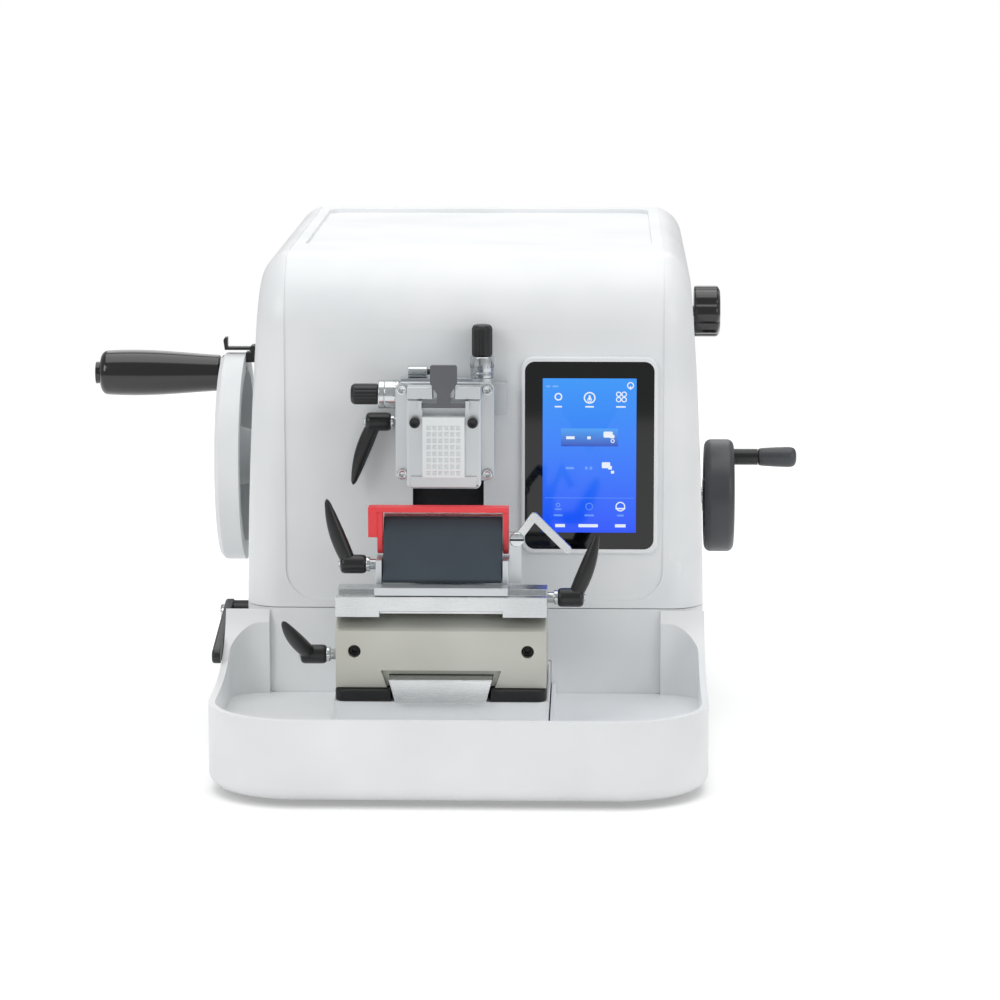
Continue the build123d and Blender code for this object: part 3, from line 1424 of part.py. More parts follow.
# Finger guard: a bar before the edge on two arms, with a flange on the left
with BuildPart() as finger_guard:
    guard_arm_half = guard_pivot_z - guard_bottom_z
    for side in (-1, 1):
        x0 = head_x + side * guard_arm_inner
        x1 = head_x + side * guard_arm_outer
        slab(min(x0, x1), max(x0, x1), guard_pivot_y - guard_arm_half,
             guard_pivot_y + guard_arm_half, guard_pivot_z, guard_top_z)
        rod_x(min(x0, x1), max(x0, x1), guard_pivot_y, guard_pivot_z, guard_arm_half)
    slab(head_x - guard_left, head_x + guard_arm_outer, front_y - guard_front,
         front_y - guard_rear, guard_bar_z, guard_top_z)
    slab(head_x - guard_left, head_x - guard_arm_outer, front_y - guard_front,
         front_y - guard_rear, guard_flange_z, guard_top_z)
    rod_x(head_x - guard_left - 1, head_x + guard_arm_outer + 1, guard_pivot_y, guard_pivot_z,
          guard_pin_radius + running_gap, mode=Mode.SUBTRACT)
save(finger_guard.part, "finger_guard")

# Bracket on the lateral carriage and the small bent arm that turns on it
bracket_rear_y = front_y - bracket_back
bracket_front_y = front_y - bracket_front
arm_front_y = bracket_front_y - arm_stand_off - arm_thickness
with BuildPart() as arm_bracket:
    slab(head_x + lateral_half, head_x + bracket_outer, bracket_front_y, bracket_rear_y,
         bracket_bottom_z, cheek_top_z)
    slab(head_x + lateral_half + slide_gap, head_x + bracket_outer, bracket_front_y,
         bracket_rear_y, cheek_top_z, bracket_top_z)
    rod_y(arm_front_y, bracket_front_y, head_x + arm_pivot_x, arm_pivot_z, arm_pin_radius)
save(arm_bracket.part, "arm_bracket")

with BuildPart() as side_arm:
    pivot = (head_x + arm_pivot_x, arm_pivot_z)
    elbow = (head_x + arm_elbow_x, arm_elbow_z)
    tip = (head_x + arm_tip_x, arm_tip_z)
    for start, end in ((pivot, elbow), (elbow, tip)):
        with BuildSketch(Plane.XZ.offset(-arm_front_y - arm_thickness)):
            with Locations(start, end):
                Circle(arm_width / 2)
            make_hull()
        extrude(amount=arm_thickness)
    rod_y(arm_front_y - 1, arm_front_y + arm_thickness + 1, pivot[0], pivot[1],
          arm_pin_radius + running_gap, mode=Mode.SUBTRACT)
save(side_arm.part, "side_arm")

# The four clamping levers
clamping_lever(
    "head_lever", head_x - head_half_width + lever_stud_gap,
    head_x - head_half_width - lever_stud_gap, -1, front_y - head_lever_forward, arm_z, 180
)
clamping_lever(
    "blade_lever", head_x - cheek_inner - slide_gap, head_x - lateral_half - lever_stud_gap,
    -1, front_y - blade_lever_forward, blade_lever_z, 0
)
clamping_lever(
    "lateral_lever", head_x + cross_half - lever_stud_gap, head_x + cross_half + lever_stud_gap,
    1, front_y - lateral_lever_forward, lateral_lever_z, 0
)
clamping_lever(
    "holder_lever", head_x - holder_half + lever_stud_gap, head_x - holder_half - lever_stud_gap,
    -1, front_y - holder_lever_forward, holder_lever_z, holder_lever_turn
)

# Power inlet with its socket, and the rocker switch above it
inlet_back_y = rear_y + inlet_flange
rocker_z = inlet_z + rocker_up
socket_z = inlet_z - socket_down
with BuildPart() as power_inlet:
    slab(inlet_x - inlet_width / 2, inlet_x + inlet_width / 2, rear_y, inlet_back_y,
         inlet_z - inlet_height / 2, inlet_z + inlet_height / 2)
    fillet(power_inlet.edges().filter_by(Axis.Y), 3)
    slab(inlet_x - inlet_width / 2 + 2.4, inlet_x + inlet_width / 2 - 2.4,
         rear_y - inlet_depth, rear_y, inlet_z - inlet_height / 2 + 2.4,
         inlet_z + inlet_height / 2 - 2.4)
    slab(inlet_x - rocker_width / 2 - slide_gap, inlet_x + rocker_width / 2 + slide_gap,
         inlet_back_y - rocker_depth - 3, inlet_back_y + 1,
         rocker_z - rocker_height / 2 - slide_gap, rocker_z + rocker_height / 2 + slide_gap,
         mode=Mode.SUBTRACT)
    slab(inlet_x - socket_width / 2, inlet_x + socket_width / 2, inlet_back_y - socket_depth,
         inlet_back_y + 1, socket_z - socket_height / 2, socket_z + socket_height / 2,
         mode=Mode.SUBTRACT)
    with BuildSketch(Plane.XZ.offset(-inlet_back_y + socket_depth)):
        with Locations((inlet_x, socket_z - 2), (inlet_x - 7, socket_z + 2), (inlet_x + 7, socket_z + 2)):
            Rectangle(2, 4)
    extrude(amount=-socket_depth + 4)
    rod_x(inlet_x - rocker_width / 2 - 2, inlet_x + rocker_width / 2 + 2, inlet_back_y - 3,
          rocker_z, 1.5 + running_gap, mode=Mode.SUBTRACT)
save(power_inlet.part, "power_inlet")

rocker_y = inlet_back_y - 3
rocker_half = rocker_height / 2
with BuildPart() as power_rocker:
    profile_x(
        inlet_x - rocker_width / 2, inlet_x + rocker_width / 2,
        (
            (rocker_y + 4.5, rocker_z + rocker_half - 0.8), (rocker_y + 2.5, rocker_z),
            (rocker_y + 4.5, rocker_z - rocker_half + 0.8), (rocker_y, rocker_z - rocker_half),
            (rocker_y - 4, rocker_z - rocker_half + 3), (rocker_y - 4, rocker_z + rocker_half - 3),
            (rocker_y, rocker_z + rocker_half),
        ),
    )
    rod_x(inlet_x - rocker_width / 2 - 1.5, inlet_x + rocker_width / 2 + 1.5, rocker_y, rocker_z, 1.5)
save(power_rocker.part, "power_rocker")
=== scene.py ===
import json
from math import atan, cos, pi, radians, sin

import bmesh
import bpy
import numpy as np
from mathutils import Euler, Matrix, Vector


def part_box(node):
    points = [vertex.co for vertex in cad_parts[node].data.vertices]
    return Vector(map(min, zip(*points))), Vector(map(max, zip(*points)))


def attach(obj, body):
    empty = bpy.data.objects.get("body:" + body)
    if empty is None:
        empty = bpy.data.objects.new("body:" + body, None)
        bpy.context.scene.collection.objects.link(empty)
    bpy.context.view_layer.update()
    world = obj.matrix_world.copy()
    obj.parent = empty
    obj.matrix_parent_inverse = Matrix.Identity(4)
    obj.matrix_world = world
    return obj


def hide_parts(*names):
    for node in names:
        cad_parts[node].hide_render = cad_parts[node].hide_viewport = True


bl_info = {
    "name": "Rotary Microtome",
    "version": (1, 0, 0),
    "blender": (4, 5, 0),
    "location": "View3D > Sidebar > Microtome",
    "description": "Dresses the solids of a rotary microtome with its real finishes and small parts",
    "category": "Object",
}

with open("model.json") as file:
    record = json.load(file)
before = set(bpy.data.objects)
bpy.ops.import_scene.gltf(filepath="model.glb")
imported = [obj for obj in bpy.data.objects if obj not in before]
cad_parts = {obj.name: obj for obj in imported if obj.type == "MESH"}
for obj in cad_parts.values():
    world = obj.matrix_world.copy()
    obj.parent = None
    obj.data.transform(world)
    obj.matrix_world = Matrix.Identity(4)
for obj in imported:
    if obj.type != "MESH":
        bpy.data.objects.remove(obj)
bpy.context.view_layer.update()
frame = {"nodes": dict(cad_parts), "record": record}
BODY_OF = {node: body for body, nodes in frame["record"]["behaviour"]["bodies"].items() for node in nodes}
MM = 0.001

# Places on the machine in millimetres, in the frame's own axes
HEAD_X = 8.0
FEED_AXIS_Z = 230.0
WHEELS_Y = 35.0
BRAKE_AXIS = (-53.0, 82.0)
COARSE_AXIS_Z = 153.0
BRACKET_SCREW = (58.0, 164.5)
STOP_SCREW = (-7.0, -127.0, 265.0)
SEAM_PLUG = (70.5, 94.0)

# The lit picture in millimetres, and the steps that its symbols are placed by
PICTURE_WIDTH = 64.8
PICTURE_HEIGHT = 108
PICTURE_FOOT_Z = 151.3
PICTURE_TOP_Z = 259.3
BAR_FOOT_Z = 211.0
BAR_TOP_Z = 225.0
COLUMNS = 93
ROWS = 156

# Spreads of the screws from the middle of what they hold, in millimetres
PLATE_SCREW_SPREAD = 28.9
CLAMP_SCREW_SPREAD = 19.5
CLAMP_SCREW_RISE = 9
COVER_SCREW_INSET = 7
BASE_SCREW_SPREAD = 57.7
BASE_SCREW_Z = 93.0

# Edges that turn by more than this stay sharp
SHARP_TURN = radians(32)


def linear(colour):
    """A colour written as sRGB hex, turned to linear red, green, blue and alpha."""
    values = [int(colour[i:i + 2], 16) / 255 for i in (1, 3, 5)]
    return tuple(v / 12.92 if v <= 0.04045 else ((v + 0.055) / 1.055) ** 2.4 for v in values) + (1.0,)


def add(tree, kind, settings=None, **sockets):
    """Adds a node, with its own settings, and fills its sockets with values or links."""
    node = tree.nodes.new(kind)
    for key, value in (settings or {}).items():
        setattr(node, key, value)
    for key, value in sockets.items():
        socket = node.inputs[int(key[1:])] if key[0] == "i" and key[1:].isdigit() else node.inputs[
            key.replace("_", " ")]
        if isinstance(value, bpy.types.NodeSocket):
            tree.links.new(value, socket)
        else:
            socket.default_value = value
    return node


def finish_of(name):
    """A fresh material with its shader and output; returns the material, its tree and the shader."""
    material = bpy.data.materials.new(name)
    material.use_nodes = True
    tree = material.node_tree
    tree.nodes.clear()
    shader = add(tree, "ShaderNodeBsdfPrincipled")
    output = add(tree, "ShaderNodeOutputMaterial")
    tree.links.new(shader.outputs["BSDF"], output.inputs["Surface"])
    return material, tree, shader


def object_coordinates(tree, scale=(1, 1, 1)):
    """Object coordinates, stretched for a brushed or drawn grain."""
    place = add(tree, "ShaderNodeTexCoord")
    return add(tree, "ShaderNodeMapping", Vector=place.outputs["Object"], Scale=scale).outputs["Vector"]


def vary(tree, factor, low, high):
    """Maps a pattern's 0 to 1 on to a span of values."""
    span = add(tree, "ShaderNodeMapRange", i0=factor)
    span.inputs["To Min"].default_value = low
    span.inputs["To Max"].default_value = high
    return span.outputs["Result"]


def shade(tree, factor, dark, light):
    """Colours between two hex values by a pattern."""
    ramp = add(tree, "ShaderNodeValToRGB", Fac=factor)
    ramp.color_ramp.elements[0].position = 0.3
    ramp.color_ramp.elements[0].color = linear(dark)
    ramp.color_ramp.elements[1].position = 0.7
    ramp.color_ramp.elements[1].color = linear(light)
    return ramp.outputs["Color"]


def grained(name, colour, deeper, metal, roughness, spread, grain_mm, depth_mm, stretch=(1, 1, 1),
            ior=None, coat=0.0):
    """A finish with a fine grain: noise of grain_mm sets height, gloss and a slight change of colour."""
    material, tree, shader = finish_of(name)
    place = object_coordinates(tree, stretch)
    grain = add(tree, "ShaderNodeTexNoise", Vector=place, Scale=1 / (grain_mm * MM), Detail=3.0)
    cloud = add(tree, "ShaderNodeTexNoise", Vector=object_coordinates(tree), Scale=14.0, Detail=2.0)
    bump = add(tree, "ShaderNodeBump", Height=grain.outputs[0], Distance=depth_mm * MM, Strength=0.6)
    tree.links.new(shade(tree, cloud.outputs[0], deeper, colour), shader.inputs["Base Color"])
    tree.links.new(vary(tree, grain.outputs[0], roughness - spread, roughness + spread),
                   shader.inputs["Roughness"])
    tree.links.new(bump.outputs["Normal"], shader.inputs["Normal"])
    shader.inputs["Metallic"].default_value = metal
    if ior:
        shader.inputs["IOR"].default_value = ior
    shader.inputs["Coat Weight"].default_value = coat
    shader.inputs["Coat Roughness"].default_value = 0.08
    return material


def glowing(name, top, bottom, low_mm, high_mm):
    """A lit liquid crystal picture: its colour runs from bottom to top between two heights."""
    material, tree, shader = finish_of(name)
    height = add(tree, "ShaderNodeSeparateXYZ", Vector=object_coordinates(tree))
    climb = add(tree, "ShaderNodeMapRange", i0=height.outputs["Z"])
    climb.inputs["From Min"].default_value = low_mm * MM
    climb.inputs["From Max"].default_value = high_mm * MM
    ramp = add(tree, "ShaderNodeValToRGB", Fac=climb.outputs["Result"])
    ramp.color_ramp.elements[0].color = linear(bottom)
    ramp.color_ramp.elements[1].color = linear(top)
    tree.links.new(ramp.outputs["Color"], shader.inputs["Emission Color"])
    shader.inputs["Base Color"].default_value = linear("#020409")
    shader.inputs["Emission Strength"].default_value = 0.92
    shader.inputs["Roughness"].default_value = 0.12
    return material


FINISH = {}


def mix_finishes(look):
    """Makes every finish once, from the colours in the panel."""
    FINISH.update({
        # Powder-coated sheet and castings: a soft sheen with a faint orange peel
        "powder_coat": grained("Powder_coated_white", look.housing_colour, "#e6e9eb", 0.0, 0.42, 0.05,
                               1.4, 0.02, ior=1.5),
        # Moulded housing shell: painted plastic, evenly fine and a little glossier
        "moulded": grained("Painted_moulding_white", look.housing_colour, "#eaedef", 0.0, 0.36, 0.04,
                           0.9, 0.012, ior=1.5),
        # Waste tray: moulded ABS in the housing's white, with a soft sheen
        "tray": grained("Moulded_tray_white", look.tray_colour, "#ebedee", 0.0, 0.38, 0.05, 1.0, 0.015,
                        ior=1.49),
        # Moulded phenolic: deep black with a polished skin
        "phenolic": grained("Polished_black_phenolic", look.grip_colour, "#060607", 0.0, 0.16, 0.03,
                            2.2, 0.008, ior=1.55, coat=0.35),
        # Glass-filled nylon: black with a dry, fine skin
        "nylon": grained("Glass_filled_nylon", look.lever_colour, "#0c0d0f", 0.0, 0.34, 0.06, 0.7, 0.02,
                         ior=1.53),
        # The same nylon in a dark grey, on the coarse wheel and its grip
        "grey_nylon": grained("Moulded_dark_grey_nylon", "#46494d", "#3a3d41", 0.0, 0.38, 0.06, 0.7,
                              0.02, ior=1.53),
        # Cassette paddle: moulded in a middle grey, dry to the eye
        "paddle": grained("Moulded_grey_paddle", "#66686c", "#5a5c60", 0.0, 0.42, 0.05, 0.8, 0.02,
                          ior=1.5),
        # Bead-blasted and clear anodised aluminium: matt, cool and even
        "blasted": grained("Blasted_aluminium", "#d9dddf", "#c9ced1", 0.9, 0.36, 0.07, 0.5, 0.012),
        # Satin anodised aluminium in a warm grey
        "warm_anodised": grained("Warm_anodised_aluminium", look.holder_colour, "#bfbfb5", 0.55, 0.42,
                                 0.06, 0.5, 0.012),
        # Ground steel: fine lines from the wheel run across the piece
        "ground": grained("Ground_steel", "#e0e2e3", "#c6cacc", 0.92, 0.27, 0.09, 0.6, 0.01,
                          stretch=(0.04, 1, 1)),
        # Turned steel: the tool's lines run round the axis, with a bright, narrow gloss
        "turned": grained("Turned_steel", "#d6d9db", "#bcc1c4", 1.0, 0.22, 0.07, 0.5, 0.01,
                          stretch=(1, 0.06, 0.06)),
        # Blackened spring steel: a blue-grey skin with faint rolling lines
        "slate": grained("Blackened_steel_plate", look.plate_colour, "#37414a", 0.25, 0.40, 0.06, 0.6,
                         0.01, stretch=(0.06, 1, 1)),
        # Black oxide: a thin, dry black that still shows the metal
        "black_steel": grained("Black_oxide_steel", "#1b1c1f", "#121315", 0.2, 0.42, 0.06, 0.6, 0.012),
        # Red powder coat on the finger guard
        "guard": grained("Guard_red_powder_coat", look.guard_colour, "#ee4046", 0.0, 0.36, 0.04, 1.1,
                         0.015, ior=1.5),
        # Moulded rubber feet: dull black
        "rubber": grained("Moulded_rubber", "#1b1b1d", "#131315", 0.0, 0.75, 0.08, 0.8, 0.03, ior=1.5),
        # Painted cast iron: the sand's texture shows through the paint
        "cast": grained("Painted_cast_iron", "#eceef0", "#dfe2e4", 0.0, 0.46, 0.05, 2.0, 0.06, ior=1.5),
        # Acetal cassette: milky white with a soft sheen
        "acetal": grained("Milky_acetal", "#eef2f3", "#e2e8ea", 0.0, 0.4, 0.05, 1.0, 0.01, ior=1.48),
        # Cover glass printed black on its back: a smooth, sharp gloss
        "glass": grained("Black_cover_glass", "#050608", "#030405", 0.0, 0.05, 0.01, 30.0, 0.002, ior=1.52),
        # Shadow in a slot too narrow to light
        "dark": grained("Shadowed_slot", "#0b0b0d", "#060607", 0.0, 0.7, 0.05, 1.0, 0.01, ior=1.5),
        # Liquid crystal picture: it lights itself, brighter towards the top
        "picture": glowing("Lit_display", look.screen_top, look.screen_bottom, PICTURE_FOOT_Z,
                           PICTURE_TOP_Z),
        "bar": glowing("Lit_highlight_bar", "#58aaff", "#1b3fb8", BAR_FOOT_Z, BAR_TOP_Z),
        "symbol": glowing("Lit_symbols", "#f4f9ff", "#e6f0ff", PICTURE_FOOT_Z, PICTURE_TOP_Z),
        "dim_symbol": glowing("Dim_symbols", "#7db4ff", "#5f97ff", PICTURE_FOOT_Z, PICTURE_TOP_Z),
    })


def skin(name, grids, body, finish, replaced=(), bevel_mm=0.0, flat=False):
    """One mesh from grids of points in millimetres, each closed round its second parameter."""
    points = np.concatenate([grid.reshape(-1, 3) for grid in grids]) * MM
    faces, start = [], 0
    for grid in grids:
        rows, columns = grid.shape[:2]
        i, j = np.meshgrid(np.arange(rows - 1), np.arange(columns), indexing="ij")
        beside = (j + 1) % columns
        quads = np.stack([i * columns + j, i * columns + beside, (i + 1) * columns + beside,
                          (i + 1) * columns + j], axis=-1)
        faces.append(quads.reshape(-1, 4) + start)
        start += rows * columns
    mesh = bpy.data.meshes.new(name)
    mesh.from_pydata(points.tolist(), [], np.concatenate(faces).tolist())
    # rows drawn in to one point become a pole, and the shell is turned outwards
    shell = bmesh.new()
    shell.from_mesh(mesh)
    bmesh.ops.remove_doubles(shell, verts=shell.verts, dist=1e-7)
    bmesh.ops.dissolve_degenerate(shell, edges=shell.edges, dist=1e-7)
    bmesh.ops.recalc_face_normals(shell, faces=shell.faces)
    shell.to_mesh(mesh)
    shell.free()
    mesh.polygons.foreach_set("use_smooth", np.full(len(mesh.polygons), not flat))
    mesh.set_sharp_from_angle(angle=SHARP_TURN)
    return place_piece(name, mesh, body, finish, replaced, bevel_mm)


def place_piece(name, mesh, body, finish, replaced=(), bevel_mm=0.0):
    """Puts a mesh on its body, in its finish, in place of the solids it stands for."""
    piece = bpy.data.objects.new(name, mesh)
    bpy.context.scene.collection.objects.link(piece)
    mesh.materials.clear()
    mesh.materials.append(FINISH[finish])
    if bevel_mm:
        edge = piece.modifiers.new("rounded_edges", "BEVEL")
        edge.width = bevel_mm * MM
        edge.segments = 2
        edge.limit_method = "ANGLE"
        edge.angle_limit = SHARP_TURN
        edge.harden_normals = True
    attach(piece, body)
    if replaced:
        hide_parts(*replaced)
    return piece


def machined(node, finish, edge_mm):
    """A copy of a solid, merged, with its sharp edges broken as a machined piece's are."""
    mesh = frame["nodes"][node].data.copy()
    for attribute in [a.name for a in mesh.attributes if "custom_normal" in a.name]:
        mesh.attributes.remove(mesh.attributes[attribute])
    shell = bmesh.new()
    shell.from_mesh(mesh)
    bmesh.ops.remove_doubles(shell, verts=shell.verts, dist=2e-6)
    bmesh.ops.dissolve_limit(shell, angle_limit=radians(0.6), verts=shell.verts, edges=shell.edges)
    bmesh.ops.recalc_face_normals(shell, faces=shell.faces)
    shell.to_mesh(mesh)
    shell.free()
    mesh.polygons.foreach_set("use_smooth", np.full(len(mesh.polygons), True))
    mesh.set_sharp_from_angle(angle=SHARP_TURN)
    return place_piece(f"{node}_edged", mesh, BODY_OF[node], finish, (node,), edge_mm)


def coat(finish, *nodes):
    """Gives solids that keep their own mesh a finish."""
    for node in nodes:
        solid = frame["nodes"][node]
        solid.data.materials.clear()
        solid.data.materials.append(FINISH[finish])


def middle(node):
    """The middle of a solid's box, in millimetres."""
    low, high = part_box(node)
    return np.array((low + high) / 2) / MM


def span(node):
    """A solid's box in millimetres: its lowest and highest corner."""
    low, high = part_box(node)
    return np.array(low) / MM, np.array(high) / MM


AXES = {"x": ((0, 1, 0), (0, 0, 1), (1, 0, 0)), "y": ((1, 0, 0), (0, 0, 1), (0, 1, 0)),
        "z": ((1, 0, 0), (0, 1, 0), (0, 0, 1))}


def lathe(profile, centre, axis, around=64, ripple=None):
    """A turned surface: each row is a circle of the profile's radius at its place along the axis.
    ripple multiplies the radius by a function of the angle, for flutes, lobes or a hexagon."""
    across, up, along = (np.array(v, float) for v in AXES[axis])
    profile = np.array(profile, float)
    angle = np.linspace(0, 2 * pi, around, endpoint=False)
    wave = np.ones_like(angle) if ripple is None else ripple(angle)
    rim = np.outer(np.cos(angle) * wave, across) + np.outer(np.sin(angle) * wave, up)
    return (np.array(centre, float) + profile[:, 0, None, None] * along
            + profile[:, 1, None, None] * rim[None])


def rounded_profile(points, radius, steps=5):
    """A profile whose corners are rounded: each corner becomes a quadratic curve between two points
    that lie the given distance along its two sides."""
    points = [np.array(p, float) for p in points]
    out = [points[0]]
    for before, corner, after in zip(points, points[1:], points[2:]):
        reach_in = min(radius, 0.45 * np.linalg.norm(before - corner))
        reach_out = min(radius, 0.45 * np.linalg.norm(after - corner))
        start = corner + (before - corner) / max(np.linalg.norm(before - corner), 1e-9) * reach_in
        end = corner + (after - corner) / max(np.linalg.norm(after - corner), 1e-9) * reach_out
        t = np.linspace(0, 1, steps)[:, None]
        out.extend((1 - t) ** 2 * start + 2 * t * (1 - t) * corner + t ** 2 * end)
    out.append(points[-1])
    return np.array(out)


def carried(path, sizes, across, count=32, power=2.0):
    """A section carried along a path: at each point the section is a superellipse whose two half
    widths are the row of sizes, the first along the given direction and the second at right angles."""
    path, sizes, across = (np.array(v, float) for v in (path, sizes, across))
    run = np.gradient(path, axis=0)
    run /= np.linalg.norm(run, axis=1, keepdims=True)
    side = across - (run @ across)[:, None] * run
    side /= np.linalg.norm(side, axis=1, keepdims=True)
    up = np.cross(run, side)
    angle = np.linspace(0, 2 * pi, count, endpoint=False)
    c, s = np.cos(angle), np.sin(angle)
    c, s = np.sign(c) * np.abs(c) ** (2 / power), np.sign(s) * np.abs(s) ** (2 / power)
    rows = (path[:, None] + (sizes[:, 0, None] * c)[..., None] * side[:, None]
            + (sizes[:, 1, None] * s)[..., None] * up[:, None])
    return np.concatenate([np.repeat(path[:1, None], count, 1), rows, np.repeat(path[-1:, None], count, 1)])


def outline_box(width, height, radius, count=9):
    """A rectangle with rounded corners, as points of a closed outline about its middle."""
    quarter = np.linspace(0, pi / 2, count)
    corners = []
    for turn, sx, sy in ((0, 1, 1), (1, -1, 1), (2, -1, -1), (3, 1, -1)):
        angle = quarter + turn * pi / 2
        corners.append(np.stack([sx * (width / 2 - radius) + radius * np.cos(angle),
                                 sy * (height / 2 - radius) + radius * np.sin(angle)], 1))
    return np.concatenate(corners)


def slab_of(outline, low, high, centre, axis, edge=0.3):
    """A flat piece: a closed outline drawn in by the edge radius at its two faces, so that its rim is
    rounded, with each face closed to its middle."""
    across, up, along = (np.array(v, float) for v in AXES[axis])
    outline = np.array(outline, float)
    run = np.roll(outline, -1, 0) - np.roll(outline, 1, 0)
    normal = np.stack([run[:, 1], -run[:, 0]], 1)
    normal /= np.maximum(np.linalg.norm(normal, axis=1, keepdims=True), 1e-9)
    inside = outline.mean(0)
    rows = [(0, low, True)]
    for t in np.linspace(0, pi / 2, 4):
        rows.append((edge * (1 - sin(t)), low + edge * (1 - cos(t)), False))
    for t in np.linspace(pi / 2, 0, 4):
        rows.append((edge * (1 - sin(t)), high - edge * (1 - cos(t)), False))
    rows.append((0, high, True))
    grid = []
    for inset, height, closing in rows:
        flat = np.repeat(inside[None], len(outline), 0) if closing else outline - normal * inset
        grid.append(np.array(centre, float) + flat[:, :1] * across + flat[:, 1:] * up + height * along)
    return np.array(grid)


def cap_screw(centre, axis, outward, radius, height):
    """A screw head with a hexagon socket, drawn as a rounded disc with a round socket sunk in its face."""
    bore = 0.52 * radius
    disc = [(0, 0), (0, radius), (outward * height, radius), (outward * height, bore),
            (outward * height * 0.3, bore * 0.98), (outward * height * 0.3, 0)]
    return lathe(rounded_profile(disc, 0.18 * radius, 3), centre, axis, 36)


def slotted_screw(centre, axis, outward, radius, height):
    """A rounded screw head: a disc turned about its axis. Its slot is a piece of its own, a dark bar of
    painted shadow.
    """
    disc = [(0, 0), (0, radius), (outward * height, radius), (outward * height, 0)]
    return lathe(rounded_profile(disc, 0.25 * radius, 4), centre, axis, 36)


class MicrotomeLook(bpy.types.PropertyGroup):
    """Colours that a user may change."""
    housing_colour: bpy.props.StringProperty(name="Housing", description="sRGB hex of the white paint",
                                             default="#f3f5f6")
    tray_colour: bpy.props.StringProperty(name="Waste tray", description="sRGB hex of the moulded tray",
                                          default="#f4f6f7")
    grip_colour: bpy.props.StringProperty(name="Crank grip", description="sRGB hex of the polished grip",
                                          default="#0c0c0e")
    lever_colour: bpy.props.StringProperty(name="Levers", description="sRGB hex of the clamping levers",
                                           default="#17191c")
    holder_colour: bpy.props.StringProperty(name="Blade holder", description="sRGB hex of its anodised base",
                                            default="#cdcec6")
    plate_colour: bpy.props.StringProperty(name="Pressure plate", description="sRGB hex of the slate plate",
                                           default="#434e57")
    guard_colour: bpy.props.StringProperty(name="Finger guard", description="sRGB hex of the red guard",
                                           default="#f84a50")
    screen_top: bpy.props.StringProperty(name="Screen top", description="sRGB hex of the picture's top",
                                         default="#3f9dff")
    screen_bottom: bpy.props.StringProperty(name="Screen foot", description="sRGB hex of the picture's foot",
                                            default="#0a4cff")


class MicrotomeSizes(bpy.types.PropertyGroup):
    """Sizes of the dressed details, in millimetres unless named otherwise."""
    edge: bpy.props.FloatProperty(name="Broken edge", description="Bevel on machined pieces", default=0.5,
                                  min=0.05, max=2.0)
    grip_flutes: bpy.props.IntProperty(name="Knob flutes", description="Flutes on a small adjusting knob",
                                       default=12, min=6, max=24)
    side_lobes: bpy.props.IntProperty(name="Side knob lobes", description="Finger lobes on the side knob",
                                      default=8, min=5, max=12)
    lens: bpy.props.FloatProperty(name="Lens", description="Camera lens in millimetres on a 36 mm sensor",
                                  default=140.4, min=20, max=300)
    camera_drop: bpy.props.FloatProperty(name="Look down", description="Camera's tilt below level",
                                         default=radians(9.5), subtype="ANGLE")


class MICROTOME_OT_housing(bpy.types.Operator):
    """Paints the housing and adds the small square plug and the covers' screws"""
    bl_idname = "microtome.housing"
    bl_label = "Housing"

    def execute(self, context):
        mix_finishes(context.scene.microtome_look)
        coat("moulded", "housing_cover")
        coat("powder_coat", "lower_housing", "rear_cover")
        coat("cast", "base_casting")
        coat("rubber", "feet")
        coat("tray", "waste_tray")
        coat("blasted", "machine_frame", "vertical_carriage")
        coat("ground", "guide_rails", "feed_cylinder", "feed_screw")
        coat("turned", "shaft_bearings", "main_shaft", "crank_disc", "coarse_shaft")
        coat("nylon", "coarse_grip_pin")
        coat("black_steel", "feed_motor", "slot_shutter", "crank_yoke")
        front = span("lower_housing")[0][1]
        place = (SEAM_PLUG[0], front, SEAM_PLUG[1])
        plug = slab_of(outline_box(3.4, 3.4, 0.5), -1.2, 0.4, place, "y", 0.3)
        skin("seam_plug", [plug], "machine", "nylon")
        low, high = span("rear_cover")
        # the heads sit in countersinks, so only their rims stand proud
        sunk_y = high[1] - 1.6
        inset = COVER_SCREW_INSET
        corners = [(x, sunk_y, z) for x in (low[0] + inset, high[0] - inset)
                   for z in (low[2] + inset, high[2] - inset)]
        screws = [cap_screw(corner, "y", 1, 3.4, 1.9) for corner in corners]
        skin("rear_cover_screws", screws, "machine", "black_steel")
        return {"FINISHED"}


